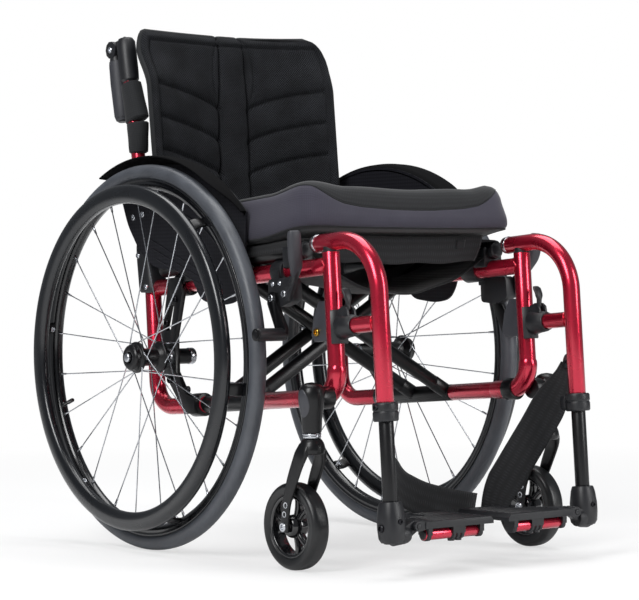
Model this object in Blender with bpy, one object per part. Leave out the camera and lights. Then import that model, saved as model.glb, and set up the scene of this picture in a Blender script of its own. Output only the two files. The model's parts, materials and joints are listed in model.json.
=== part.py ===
"""Folding active wheelchair, modelled as separate pieces in metres.

+Z is up, the chair faces -Y and the user's left is +X. The frame's tubes lie in two tilted planes, one on
each side, so most pieces are placed with at(x, u, w): u runs forward along the rails and w runs up across
them, both counted from the rear axle.
"""
import math

import bmesh
import bpy
import numpy as np
from mathutils import Matrix, Vector

# Clearances
GAP = 0.0003            # between pieces that seat on each other
RUNNING_GAP = 0.0006    # between pieces that turn or slide

# Rear wheel, 24 inch with a 25 mm tyre
TYRE_R = 0.295
WHEEL_SIDES = 36
TYRE_SECTION = 0.025
WHEEL_X = 0.245
RIM_DEPTH = 0.0145
RIM_WIDTH = 0.020
SPOKE_COUNT = 24
SPOKE_R = 0.0010
FLANGE_R = 0.0245
FLANGE_HALF_SPACING = 0.0200
HUB_INNER_X = 0.2125
HUB_OUTER_X = 0.2800
HUB_CAP_R = 0.0195
AXLE_R = 0.0065
AXLE_INNER_X = 0.1580
BUTTON_R = 0.0070
BUTTON_TRAVEL = 0.003
HANDRIM_OUTER_R = 0.2637
HANDRIM_RADIAL = 0.0290
HANDRIM_LATERAL = 0.0190
HANDRIM_X = 0.2835
TAB_COUNT = 6

# Castor
CASTOR_R = 0.0625
CASTOR_WIDTH = 0.030
CASTOR_X = 0.2276
CASTOR_TRAIL = 0.038
STEM_Y = -0.386
FORK_PLATE = 0.004
CROWN_Z = 0.1755
CROWN_HEIGHT = 0.018
HOUSING_HEIGHT = 0.066
HOUSING_LENGTH = 0.034
HOUSING_WIDTH = 0.040

# Side frame
TILT = math.radians(4.2)
FRAME_X = 0.185
TUBE_R = 0.0127
UPPER_W = 0.1093
LOWER_W = -0.0770
FRONT_U = 0.388
REAR_U = -0.065
FRONT_BEND = 0.038
REAR_BEND = 0.040
ELBOW_R = 0.0142
ELBOW_TOP_W = -0.0375
ELBOW_REAR_U = 0.318
SLEEVE_REAR_U = 0.066
SLEEVE_FRONT_U = 0.214
PIVOT_ROD_R = 0.0080

# Cross-brace and seat
SEAT_TUBE_R = 0.0127
SEAT_TUBE_W = 0.1370
SEAT_TUBE_REAR_U = -0.030
SEAT_TUBE_FRONT_U = 0.333
ARM_A_U = (0.098, 0.178)
ARM_STAGGER = 0.024
ARM_HALF_HEIGHT = 0.0104
ARM_HALF_WIDTH = 0.0090
BOLT_R = 0.0040
SLING_THICKNESS = 0.0050
CUSHION_WIDTH = 0.386
CUSHION_REAR_U = -0.034
CUSHION_FRONT_U = 0.357
CUSHION_HEIGHT = 0.068
CUSHION_CROWN = 0.012

# Back
CANE_BASE_Y = 0.0775
CANE_BASE_Z = 0.420
CANE_LEAN = math.radians(10.4)
CANE_R = 0.0110
CANE_LENGTH = 0.388
BACK_HALF_WIDTH = 0.184
BACK_REAR_N = 0.0155
BACK_THICKNESS = 0.022
BACK_CENTRE_N = 0.0300
BACK_LOW = 0.050
BACK_HIGH = 0.392
HANDLE_OFFSET = 0.031
HANDLE_LENGTH = 0.118
HANDLE_R = 0.0125

# Hanger and footrest
HANGER_TOP_W = 0.1425
HANGER_U = 0.4905
HANGER_REAR_U = 0.352
HANGER_BEND = 0.078
HANGER_LOW_W = -0.112
PIN_R = 0.0085
PIN_DEPTH = 0.040
STUB_W = 0.0213
STUB_R = 0.0115
BLOCK_HALF_HEIGHT = 0.0237
HINGE_Z = 0.0710
HINGE_Y = -0.5150
KNUCKLE_R = 0.0080
KNUCKLE_HALF = 0.0065
FOOT_TUBE_R = 0.0105
FOOT_Z = 0.068
ELBOW_BOSS_R = 0.0185
PLATE_HINGE_X = 0.1520
PLATE_TOP_Z = 0.0766
PLATE_THICKNESS = 0.0100
PLATE_FRONT_Y = -0.5300
PLATE_REAR_Y = -0.4200
PLATE_END_X = 0.0145
PLATE_END_CHAMFER = 0.0050
BAR_Z = 0.0575
BAR_R = 0.0080

# Sideguard
GUARD_X = 0.2077
GUARD_THICKNESS = 0.0028
FENDER_R = 0.3050
FENDER_OUTER_X = 0.2475

# The rear axle's place, so that the origin lies on the floor under the middle of the chair
AXLE_Y = 0.1175
AXLE_Z = TYRE_R

SIDES = {"right": -1, "left": 1}
COS_T = math.cos(TILT)
SIN_T = math.sin(TILT)


def at(x, u, w):
    """World point of frame coordinates: x across, u forward along the rails, w up across them."""
    return Vector((x, AXLE_Y - u * COS_T + w * SIN_T, AXLE_Z + u * SIN_T + w * COS_T))


def world(x, y, z):
    """World point from a point whose y is counted from the rear axle."""
    return Vector((x, AXLE_Y + y, z))


ALONG = (at(0, 1, 0) - at(0, 0, 0)).normalized()
ACROSS = (at(0, 0, 1) - at(0, 0, 0)).normalized()
LATERAL = Vector((1, 0, 0))
UP = Vector((0, 0, 1))
BACKWARD = Vector((0, 1, 0))
CANE_UP = Vector((0, math.sin(CANE_LEAN), math.cos(CANE_LEAN)))
CANE_FRONT = Vector((0, -math.cos(CANE_LEAN), math.sin(CANE_LEAN)))


def on_cane(x, along, front):
    """World point beside a cane: along it from its base, and forward of its centre line."""
    return world(x, CANE_BASE_Y, CANE_BASE_Z) + CANE_UP * along + CANE_FRONT * front


# Materials

def linear(channel):
    """Linear value of one sRGB channel from 0 to 255."""
    value = channel / 255
    return value / 12.92 if value <= 0.04045 else ((value + 0.055) / 1.055) ** 2.4


def material(name, colour, roughness, metallic=0.0):
    """Principled material from an sRGB colour."""
    made = bpy.data.materials.new(name)
    made.use_nodes = True
    shader = made.node_tree.nodes["Principled BSDF"]
    rgba = tuple(linear(c) for c in colour) + (1.0,)
    shader.inputs["Base Color"].default_value = rgba
    shader.inputs["Roughness"].default_value = roughness
    shader.inputs["Metallic"].default_value = metallic
    made.diffuse_color = rgba
    return made


FINISHES = {
    "red_paint": ((176, 26, 46), 0.28, 0.6),
    "black_plastic": ((34, 34, 38), 0.45, 0.0),
    "black_metal": ((26, 26, 29), 0.35, 0.3),
    "tyre_rubber": ((58, 60, 66), 0.75, 0.0),
    "castor_rubber": ((30, 30, 33), 0.55, 0.0),
    "bright_steel": ((200, 202, 206), 0.25, 1.0),
    "gloss_shell": ((16, 16, 18), 0.18, 0.0),
    "cushion_cloth": ((58, 56, 64), 0.9, 0.0),
    "back_cloth": ((38, 40, 44), 0.95, 0.0),
    "webbing": ((28, 28, 31), 0.95, 0.0),
}


# Mesh tools

def mesh_from(verts, faces):
    """Closed mesh with its faces pointing out."""
    made = bpy.data.meshes.new("shape")
    made.from_pydata([tuple(v) for v in verts], [], faces)
    shape = bmesh.new()
    shape.from_mesh(made)
    bmesh.ops.recalc_face_normals(shape, faces=shape.faces)
    shape.to_mesh(made)
    shape.free()
    return made


def rings_mesh(rings, closed=False):
    """Skin over rings of equal length, with end caps, or joined end to end when closed."""
    count = len(rings[0])
    verts = [p for ring in rings for p in ring]
    faces = []
    spans = len(rings) if closed else len(rings) - 1
    for i in range(spans):
        a = i * count
        b = ((i + 1) % len(rings)) * count
        for j in range(count):
            k = (j + 1) % count
            faces.append((a + j, a + k, b + k, b + j))
    if not closed:
        faces.append(tuple(range(count)))
        faces.append(tuple(range(len(verts) - count, len(verts))))
    return mesh_from(verts, faces)


def route(corners, radius, steps=4):
    """Points along straight runs whose corners are arcs of the given radius."""
    points = [Vector(corners[0])]
    for before, corner, after in zip(corners, corners[1:], corners[2:]):
        back = (Vector(before) - Vector(corner)).normalized()
        on = (Vector(after) - Vector(corner)).normalized()
        half = back.angle(on) / 2
        reach = radius / math.tan(half)
        centre = Vector(corner) + (back + on).normalized() * (radius / math.sin(half))
        first = Vector(corner) + back * reach - centre
        last = Vector(corner) + on * reach - centre
        turn = first.angle(last)
        for i in range(steps + 1):
            t = i / steps
            arm = first * math.sin((1 - t) * turn) + last * math.sin(t * turn)
            points.append(centre + arm / math.sin(turn))
    points.append(Vector(corners[-1]))
    return points


def sweep(points, wide, high=None, sides=10, normal=LATERAL, phase=0.5):
    """Tube along points. wide is its half width along the normal, high its half size across that."""
    high = wide if high is None else high
    points = [Vector(p) for p in points]
    rings = []
    for i, point in enumerate(points):
        before = points[max(i - 1, 0)]
        after = points[min(i + 1, len(points) - 1)]
        if 0 < i < len(points) - 1:
            tangent = ((point - before).normalized() + (after - point).normalized()).normalized()
        else:
            tangent = (after - before).normalized()
        side = (normal - tangent * normal.dot(tangent)).normalized()
        other = tangent.cross(side)
        size = wide[i] if isinstance(wide, (list, tuple)) else wide
        tall = high[i] if isinstance(high, (list, tuple)) else high
        ring = []
        for j in range(sides):
            angle = 2 * math.pi * (j + phase) / sides
            ring.append(point + side * (size * math.cos(angle)) + other * (tall * math.sin(angle)))
        rings.append(ring)
    return rings_mesh(rings)


def cylinder(start, end, radius, end_radius=None, sides=10):
    """Round bar, or a cone when the end radius differs."""
    end_radius = radius if end_radius is None else end_radius
    normal = LATERAL if abs((Vector(end) - Vector(start)).normalized().x) < 0.9 else UP
    return sweep([start, end], [radius, end_radius], [radius, end_radius], sides, normal)


def bore(start, end, radius, sides=10):
    """Cutter for a hole: its flats lie on the radius, so that a round bar of that size clears them."""
    return cylinder(start, end, radius / math.cos(math.pi / sides), sides=sides)


def lathe(profile, centre, axis=LATERAL, sides=32, phase=0.5):
    """Solid of revolution about an axis, from (radius, height) points that run round a closed section.

    A radius of 0 at both ends makes a solid piece, and otherwise the section is a ring.
    """
    side = (UP - axis * UP.dot(axis)).normalized() if abs(axis.z) < 0.9 else LATERAL
    other = axis.cross(side)
    solid = profile[0][0] == 0
    body = profile[1:-1] if solid else profile
    rings = []
    for radius, height in body:
        ring = []
        for j in range(sides):
            angle = 2 * math.pi * (j + phase) / sides
            arm = side * math.cos(angle) + other * math.sin(angle)
            ring.append(centre + axis * height + arm * radius)
        rings.append(ring)
    return rings_mesh(rings, closed=not solid)


def prism(outline, start, end, place):
    """Plate from a 2D outline, between two heights. place(a, b, height) gives the world point."""
    rings = [[place(a, b, height) for a, b in outline] for height in (start, end)]
    return rings_mesh(rings)


def block(centre, size, directions=(LATERAL, BACKWARD, UP), corner=0.0):
    """Box with its four long edges chamfered about the first direction."""
    a, b, c = directions
    half = [s / 2 for s in size]
    if corner:
        p, q = half[1], half[2]
        outline = [(p - corner, -q), (p, -q + corner), (p, q - corner), (p - corner, q),
                   (-p + corner, q), (-p, q - corner), (-p, -q + corner), (-p + corner, -q)]
    else:
        outline = [(half[1], -half[2]), (half[1], half[2]), (-half[1], half[2]), (-half[1], -half[2])]
    return prism(outline, -half[0], half[0],
                 lambda y, z, x: Vector(centre) + a * x + b * y + c * z)


def rounded(points, radius, steps=3):
    """2D outline with every corner rounded."""
    outline = []
    count = len(points)
    for i in range(count):
        corner = Vector(points[i])
        back = (Vector(points[i - 1]) - corner)
        on = (Vector(points[(i + 1) % count]) - corner)
        half = back.angle(on) / 2
        reach = min(radius / math.tan(half), back.length * 0.45, on.length * 0.45)
        r = reach * math.tan(half)
        middle = corner + (back.normalized() + on.normalized()).normalized() * (r / math.sin(half))
        first = corner + back.normalized() * reach - middle
        last = corner + on.normalized() * reach - middle
        turn = first.angle(last)
        for j in range(steps + 1):
            t = j / steps
            arm = (first * math.sin((1 - t) * turn) + last * math.sin(t * turn)) / math.sin(turn)
            outline.append(tuple(middle + arm))
    return outline


def combine(base, others, operation):
    """Boolean of meshes, applied at once so that no cutter is left in the scene."""
    for other in others:
        holder = bpy.data.objects.new("holder", base)
        tool = bpy.data.objects.new("tool", other)
        for one in (holder, tool):
            bpy.context.scene.collection.objects.link(one)
        tool.display_type = "WIRE"
        tool.hide_render = True
        modifier = holder.modifiers.new("join", "BOOLEAN")
        modifier.operation = operation
        modifier.solver = "EXACT"
        modifier.object = tool
        bpy.context.view_layer.update()
        graph = bpy.context.evaluated_depsgraph_get()
        base = bpy.data.meshes.new_from_object(holder.evaluated_get(graph))
        bpy.data.objects.remove(holder)
        bpy.data.objects.remove(tool)
    return base


def union(base, *others):
    return combine(base, others, "UNION")


def cut(base, *others):
    return combine(base, others, "DIFFERENCE")


def gather(*meshes):
    """Separate solids in one mesh."""
    shape = bmesh.new()
    for one in meshes:
        shape.from_mesh(one)
    made = bpy.data.meshes.new("group")
    shape.to_mesh(made)
    shape.free()
    return made


def cleaned(mesh):
    """Mesh without the slivers and the needless edges that cutting leaves."""
    shape = bmesh.new()
    shape.from_mesh(mesh)
    bmesh.ops.remove_doubles(shape, verts=shape.verts, dist=0.00002)
    bmesh.ops.dissolve_degenerate(shape, edges=shape.edges, dist=0.00001)
    bmesh.ops.dissolve_limit(shape, angle_limit=math.radians(0.5), verts=shape.verts, edges=shape.edges)
    shape.to_mesh(mesh)
    shape.free()
    return mesh


PIVOTS = {}


def pivot(name, point):
    """Empty on a joint's axis, which carries the pieces that move with it."""
    empty = bpy.data.objects.new("pivot_" + name, None)
    empty.location = point
    bpy.context.scene.collection.objects.link(empty)
    PIVOTS[name] = empty


def piece(name, mesh, finish, carried_by=None, smooth=True):
    """Named object of one sub-part, with its own material, on its joint's empty."""
    mesh = cleaned(mesh)
    mesh.name = name
    made = bpy.data.objects.new(name, mesh)
    bpy.context.scene.collection.objects.link(made)
    mesh.materials.clear()
    mesh.materials.append(material(name, *FINISHES[finish]))
    if smooth:
        mesh.shade_smooth()
        mesh.set_sharp_from_angle(angle=math.radians(35))
    if carried_by:
        empty = PIVOTS[carried_by]
        offset = Vector(empty.location)
        mesh.transform(Matrix.Translation(-offset))
        made.parent = empty
    return made


# Places that several pieces share

def rail_point(side, u, w=UPPER_W):
    return at(side * FRAME_X, u, w)


FRONT_TOP_W = HANGER_TOP_W - TUBE_R - GAP
AXLE = world(0, 0, AXLE_Z)
RIM_INNER_R = TYRE_R - TYRE_SECTION - GAP - RIM_DEPTH
CASTOR_AXLE_Y = STEM_Y + CASTOR_TRAIL
FOOT_Y = at(0, HANGER_U, (FOOT_Z - AXLE_Z - HANGER_U * SIN_T) / COS_T).y - AXLE_Y
HANDLE_PIVOT = CANE_LENGTH - 0.014
BRAKE_PIVOT = (-0.3155, 0.3920)
SHOE_PIVOT = (-0.2850, 0.3860)
ROLLER = (-0.3085, 0.3340)
BRAKE_PLATE_X = 0.2158
LATCH_U = 0.4200
LATCH_W = STUB_W + 0.0235
REAR_SADDLE_U = 0.0560
FRONT_SADDLE_U = 0.3100
CATCH_LOW_W = 0.0026
CATCH_HIGH_W = 0.0598


# Side frame

def side_frame(side):
    """Tube loop with a stepped front elbow, the cross-brace rod and the bore of the hanger's pin."""
    x = side * FRAME_X
    rear = route([at(x, SLEEVE_REAR_U, LOWER_W), at(x, REAR_U, LOWER_W), at(x, REAR_U, UPPER_W + 0.006)],
                 REAR_BEND)
    front = route([at(x, FRONT_U, FRONT_TOP_W), at(x, FRONT_U, LOWER_W), at(x, SLEEVE_FRONT_U, LOWER_W)],
                  FRONT_BEND)
    elbow = route([at(x, FRONT_U, ELBOW_TOP_W + 0.001), at(x, FRONT_U, LOWER_W),
                   at(x, ELBOW_REAR_U - 0.001, LOWER_W)], FRONT_BEND)
    elbow = [at(x, FRONT_U, ELBOW_TOP_W + 0.003)] + elbow + [at(x, ELBOW_REAR_U - 0.003, LOWER_W)]
    sizes = [TUBE_R + 0.0002] + [ELBOW_R] * (len(elbow) - 2) + [TUBE_R + 0.0002]
    loop = union(sweep(rear, TUBE_R),
                 sweep([at(x, REAR_U, UPPER_W), at(x, FRONT_U, UPPER_W)], TUBE_R * 0.995),
                 sweep(front, TUBE_R),
                 sweep(elbow, sizes, sizes),
                 cylinder(at(x, SLEEVE_REAR_U - 0.020, LOWER_W), at(x, SLEEVE_FRONT_U + 0.020, LOWER_W),
                          PIVOT_ROD_R))
    return cut(loop, bore(at(x, FRONT_U, FRONT_TOP_W - PIN_DEPTH - 0.002),
                          at(x, FRONT_U, FRONT_TOP_W + 0.010), PIN_R + GAP))


def saddle_block(side, u):
    """Solid block that stands on the upper rail and reaches up round the seat tube."""
    outline = rounded([(-0.0178, 0.112), (0.0178, 0.112), (0.0178, 0.143), (-0.0178, 0.143)], 0.003)
    return prism(outline, u - 0.013, u + 0.013, lambda a, b, h: at(side * (FRAME_X + a), h, b))


def rail_clearance(side, start, end):
    """Cutters that clear the upper rail, the seat tube and the seat tube's way up."""
    x = side * FRAME_X
    return [cylinder(at(x, start, UPPER_W), at(x, end, UPPER_W), TUBE_R + GAP),
            cylinder(at(x, start, SEAT_TUBE_W), at(x, end, SEAT_TUBE_W), SEAT_TUBE_R + GAP),
            block(at(x, (start + end) / 2, SEAT_TUBE_W + 0.012),
                  (2 * (SEAT_TUBE_R + GAP) * math.cos(math.pi / 10), end - start, 0.024),
                  (LATERAL, ALONG, ACROSS))]


def seat_saddle(side):
    """Open cradle on the upper rail that the seat tube drops into when the chair is unfolded."""
    return cut(saddle_block(side, FRONT_SADDLE_U),
               *rail_clearance(side, FRONT_SADDLE_U - 0.02, FRONT_SADDLE_U + 0.02))


def hanger_catch(side):
    """Tapered catch behind the front tube that stops the hanger."""
    x = side * FRAME_X
    catch = prism([(-0.008, CATCH_LOW_W), (-0.042, CATCH_LOW_W), (-0.048, CATCH_LOW_W + 0.010),
                   (-0.041, CATCH_HIGH_W - 0.020), (-0.028, CATCH_HIGH_W), (-0.008, CATCH_HIGH_W)],
                  -0.0056, 0.0056, lambda a, b, h: at(x + h, FRONT_U + a, b))
    post = bore(at(x, FRONT_U, CATCH_LOW_W - 0.01), at(x, FRONT_U, CATCH_HIGH_W + 0.01), TUBE_R + GAP, 12)
    return cut(catch, post)


def cane_socket(side):
    """Moulded socket that clamps the rear corner of the frame and takes the cane."""
    x = side * FRAME_X
    low = at(x, REAR_U + 0.002, UPPER_W - 0.006)
    high = on_cane(x, 0.052, 0)
    rings = []
    for t, wide, deep in ((0, 0.0170, 0.0190), (0.12, 0.0180, 0.0200), (0.75, 0.0165, 0.0180),
                          (1, 0.0150, 0.0160)):
        centre = low.lerp(high, t)
        ring = []
        for j in range(12):
            angle = 2 * math.pi * (j + 0.5) / 12
            p, q = math.cos(angle), math.sin(angle)
            square = (abs(p) ** 4 + abs(q) ** 4) ** -0.25
            ring.append(centre + LATERAL * (wide * p * square) + BACKWARD * (deep * q * square))
        rings.append(ring)
    body = rings_mesh(rings)
    upright = cylinder(at(x, REAR_U, UPPER_W - 0.04), at(x, REAR_U, UPPER_W + 0.0063), TUBE_R + GAP)
    rail = cylinder(at(x, REAR_U - GAP, UPPER_W), at(x, REAR_U + 0.06, UPPER_W), TUBE_R + GAP)
    return cut(body, upright, rail, cylinder(on_cane(x, 0.0240, 0), on_cane(x, 0.08, 0), CANE_R + GAP))


def back_cane(side):
    """Leaning tube with the black head that carries the push handle."""
    x = side * FRAME_X
    tube = cylinder(on_cane(x, 0.0245, 0), on_cane(x, CANE_LENGTH, 0), CANE_R)
    sleeve = sweep([on_cane(x, s, 0) for s in (0.318, 0.322, 0.385, 0.392)],
                   [CANE_R + 0.0006, 0.0150, 0.0150, 0.0100], [CANE_R + 0.0006, 0.0150, 0.0150, 0.0100])
    lug = prism([(0.0, -0.012), (0.031, -0.013), (0.040, -0.006), (0.040, 0.006), (0.031, 0.013), (0.0, 0.013)],
                -0.0050, 0.0050, lambda a, b, h: on_cane(x + h, HANDLE_PIVOT + b, -a))
    eye = bore(on_cane(x - 0.02, HANDLE_PIVOT, -HANDLE_OFFSET), on_cane(x + 0.02, HANDLE_PIVOT, -HANDLE_OFFSET),
               0.0035 + GAP, 8)
    return cut(union(tube, sleeve, lug), eye)


def push_handle(side):
    """Grip that hangs behind the cane, with a forked head and its pin."""
    x = side * FRAME_X
    centre = on_cane(x, HANDLE_PIVOT, -HANDLE_OFFSET)
    head = cylinder(centre - LATERAL * 0.0105, centre + LATERAL * 0.0105, 0.0140)
    stations = (0.004, 0.022, 0.055, 0.090, 0.112, HANDLE_LENGTH)
    sizes = [0.0095, HANDLE_R, HANDLE_R + 0.001, HANDLE_R, HANDLE_R + 0.0005, 0.0080]
    grip = sweep([centre - CANE_UP * s for s in stations], sizes, sizes)
    slot = prism([(-0.0165, -0.0170), (0.0165, -0.0170), (0.0165, 0.0165), (-0.0165, 0.0165)],
                 -0.0050 - GAP, 0.0050 + GAP,
                 lambda a, b, h: centre + LATERAL * h + CANE_UP * b + CANE_FRONT * a)
    pin = cylinder(centre - LATERAL * 0.0104, centre + LATERAL * 0.0104, 0.0035)
    return union(cut(union(head, grip), slot), pin)


def axle_bracket(side):
    """Plate clamped to both rails, with the axle's receiver and the rear cradle of the seat tube."""
    inner, outer = 0.1982, 0.2062
    outline = [(0.010, UPPER_W + 0.011), (0.042, UPPER_W + 0.011), (0.044, UPPER_W - 0.014),
               (0.020, 0.030), (0.018, -0.024), (0.040, -0.058), (0.062, LOWER_W + 0.010),
               (0.062, LOWER_W - 0.013), (0.036, LOWER_W - 0.013), (0.012, -0.058), (-0.018, -0.020),
               (-0.018, 0.026)]
    plate = prism(outline, side * inner, side * outer, lambda u, w, h: at(h, u, w))
    x = side * FRAME_X
    parts = [cylinder(at(x, 0.012, UPPER_W), at(x, 0.040, UPPER_W), TUBE_R + 0.0045),
             cylinder(at(x, 0.037, LOWER_W), at(x, 0.061, LOWER_W), TUBE_R + 0.0045),
             saddle_block(side, REAR_SADDLE_U),
             block(at(side * 0.2005, 0.0415, UPPER_W + 0.006), (0.0045, 0.0120, 0.0130),
                   (LATERAL, ALONG, ACROSS)),
             cylinder(AXLE + LATERAL * (side * 0.162), AXLE + LATERAL * (side * (HUB_INNER_X - RUNNING_GAP)),
                      0.0125)]
    receiver = bore(AXLE + LATERAL * (side * 0.150), AXLE + LATERAL * (side * 0.230), AXLE_R + GAP, 12)
    slot = prism(rounded([(-0.007, 0.040), (0.009, 0.040), (0.022, 0.080), (0.010, 0.080)], 0.003, 1),
                 side * 0.190, side * 0.215, lambda u, w, h: at(h, u, w))
    clear = rail_clearance(side, 0.0, 0.080)
    clear.append(cylinder(at(x, 0.02, LOWER_W), at(x, 0.080, LOWER_W), TUBE_R + GAP))
    return cut(union(plate, *parts), receiver, slot, *clear)


def sideguard(side):
    """Thin side panel whose top flares out as a fender over the tyre."""
    rear_angle, front_angle, steps = math.radians(25), math.radians(-50), 10
    top = []
    for i in range(steps + 1):
        angle = rear_angle + (front_angle - rear_angle) * i / steps
        top.append((FENDER_R * math.sin(angle), AXLE_Z + FENDER_R * math.cos(angle)))
    lower = [(-0.240, 0.455), (-0.232, 0.405), (-0.205, 0.381), (-0.150, 0.3745), (-0.095, 0.381),
             (-0.062, 0.425), (0.030, 0.432), (0.072, 0.458), (0.105, 0.500), (0.124, 0.545)]
    panel = prism(top + lower, side * GUARD_X, side * (GUARD_X + GUARD_THICKNESS),
                  lambda y, z, h: world(h, y, z))
    profile = [(GUARD_X, FENDER_R - 0.003), (GUARD_X + 0.006, FENDER_R + 0.0015),
               (GUARD_X + 0.030, FENDER_R + 0.004), (FENDER_OUTER_X, FENDER_R + 0.0025),
               (FENDER_OUTER_X, FENDER_R), (GUARD_X + 0.030, FENDER_R + 0.0015),
               (GUARD_X + 0.008, FENDER_R - 0.001), (GUARD_X + GUARD_THICKNESS, FENDER_R - 0.0045)]
    rings = []
    for i in range(steps + 3):
        angle = rear_angle + (front_angle - rear_angle) * i / (steps + 2)
        rings.append([world(side * px, r * math.sin(angle), AXLE_Z + r * math.cos(angle))
                      for px, r in profile])
    fender = rings_mesh(rings)
    posts = []
    for u in (0.122, 0.186):
        start = at(side * (FRAME_X + TUBE_R + GAP), u, UPPER_W)
        posts.append(cylinder(start, start + LATERAL * (side * (GUARD_X + 0.001 - FRAME_X - TUBE_R - GAP)),
                              0.0060, sides=8))
    holes = [cylinder(world(side * 0.2, y, 0.398), world(side * 0.22, y, 0.398), 0.0045, sides=8)
             for y in (-0.118, -0.182)]
    return cut(union(panel, fender, *posts), *holes)


# Rear wheel

def tyre(side):
    """Round tyre with a flat tread facet, so that it stands still."""
    half = TYRE_SECTION / 2
    corner = half / math.cos(math.pi / 8)
    centre_r = TYRE_R - half
    sides = WHEEL_SIDES
    scale = 1 / math.cos(math.pi / sides)
    profile = []
    for j in range(8):
        angle = 2 * math.pi * (j + 0.5) / 8
        radius = centre_r + corner * math.cos(angle)
        profile.append((radius * (scale if radius > centre_r else 1), corner * math.sin(angle)))
    return lathe(profile, AXLE + LATERAL * (side * WHEEL_X), sides=sides)


def rim(side):
    """Deep-section rim inside the tyre's beads."""
    outer, inner, half = RIM_INNER_R + RIM_DEPTH, RIM_INNER_R, RIM_WIDTH / 2
    profile = [(outer, -half), (inner + 0.005, -half), (inner, 0), (inner + 0.005, half), (outer, half)]
    return lathe(profile, AXLE + LATERAL * (side * WHEEL_X), sides=WHEEL_SIDES)


def hub(side):
    """Turned hub with two spoke flanges, its spokes, quick-release axle and release button recess."""
    low, high = WHEEL_X - FLANGE_HALF_SPACING, WHEEL_X + FLANGE_HALF_SPACING
    profile = [(0, AXLE_INNER_X), (AXLE_R, AXLE_INNER_X), (AXLE_R, HUB_INNER_X), (0.0135, HUB_INNER_X),
               (0.0135, low - 0.003), (FLANGE_R, low - 0.0015), (FLANGE_R, low + 0.0015), (0.0125, low + 0.005),
               (0.0125, high - 0.005), (FLANGE_R, high - 0.0015), (FLANGE_R, high + 0.0015),
               (HUB_CAP_R, high + 0.003), (HUB_CAP_R, HUB_OUTER_X - 0.003),
               (HUB_CAP_R - 0.003, HUB_OUTER_X), (BUTTON_R + GAP, HUB_OUTER_X),
               (BUTTON_R + GAP, HUB_OUTER_X - 0.009), (0, HUB_OUTER_X - 0.009)]
    return union(lathe(profile, AXLE, LATERAL * side, sides=12), spokes(side))


def axle_button(side):
    """Release button in the end of the axle."""
    profile = [(0, HUB_OUTER_X - 0.009 + BUTTON_TRAVEL + RUNNING_GAP),
               (BUTTON_R, HUB_OUTER_X - 0.009 + BUTTON_TRAVEL + RUNNING_GAP),
               (BUTTON_R, HUB_OUTER_X + 0.0036), (BUTTON_R - 0.0015, HUB_OUTER_X + 0.005),
               (0, HUB_OUTER_X + 0.005)]
    return lathe(profile, AXLE, LATERAL * side, sides=12)


def spokes(side):
    """Crossed spokes: each flange sends half of them out, alternately leaning forward and back.

    They start inside the flange and end just short of the rim.
    """
    rim_r = RIM_INNER_R * math.cos(math.pi / WHEEL_SIDES) - 0.0004
    solids = []
    for i in range(SPOKE_COUNT):
        flange = 1 if i % 2 else -1
        index = i // 2
        lean = 1 if index % 2 else -1
        rim_angle = 2 * math.pi * (i + 0.5) / SPOKE_COUNT
        hub_angle = rim_angle + lean * math.radians(60)
        x_hub = WHEEL_X + flange * (FLANGE_HALF_SPACING + lean * 0.0021)
        x_rim = WHEEL_X + flange * 0.0006
        start_r = FLANGE_R - 0.0022
        start = AXLE + Vector((side * x_hub, start_r * math.sin(hub_angle), start_r * math.cos(hub_angle)))
        end = AXLE + Vector((side * x_rim, rim_r * math.sin(rim_angle), rim_r * math.cos(rim_angle)))
        solids.append(sweep([start, end], SPOKE_R, sides=3, normal=LATERAL))
    return gather(*solids)


def handrim(side):
    """Oval push ring carried on tabs that reach the rim."""
    sides = WHEEL_SIDES
    radial, lateral = HANDRIM_RADIAL / 2, HANDRIM_LATERAL / 2
    centre_r = HANDRIM_OUTER_R - radial
    profile = []
    for j in range(6):
        angle = 2 * math.pi * j / 6
        profile.append((centre_r + radial * math.cos(angle),
                        lateral / math.cos(math.pi / 6) * math.sin(angle)))
    ring = lathe(profile, AXLE + LATERAL * (side * HANDRIM_X), sides=sides)
    tabs = []
    rim_face = WHEEL_X + RIM_WIDTH / 2 + GAP
    for i in range(TAB_COUNT):
        angle = 2 * math.pi * (i + 0.35) / TAB_COUNT
        out = Vector((0, math.sin(angle), math.cos(angle)))
        along = Vector((0, math.cos(angle), -math.sin(angle)))
        rings = []
        for x, radius, deep, wide in ((rim_face, 0.2600, 0.0040, 0.0110),
                                      (HANDRIM_X - 0.003, 0.2530, 0.0035, 0.0080)):
            centre = AXLE + LATERAL * (side * x) + out * radius
            rings.append([centre + along * a * wide + out * b * deep
                          for a, b in ((1, -1), (1, 1), (-1, 1), (-1, -1))])
        tabs.append(rings_mesh(rings))
    return union(ring, *tabs)


# Castor

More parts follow.
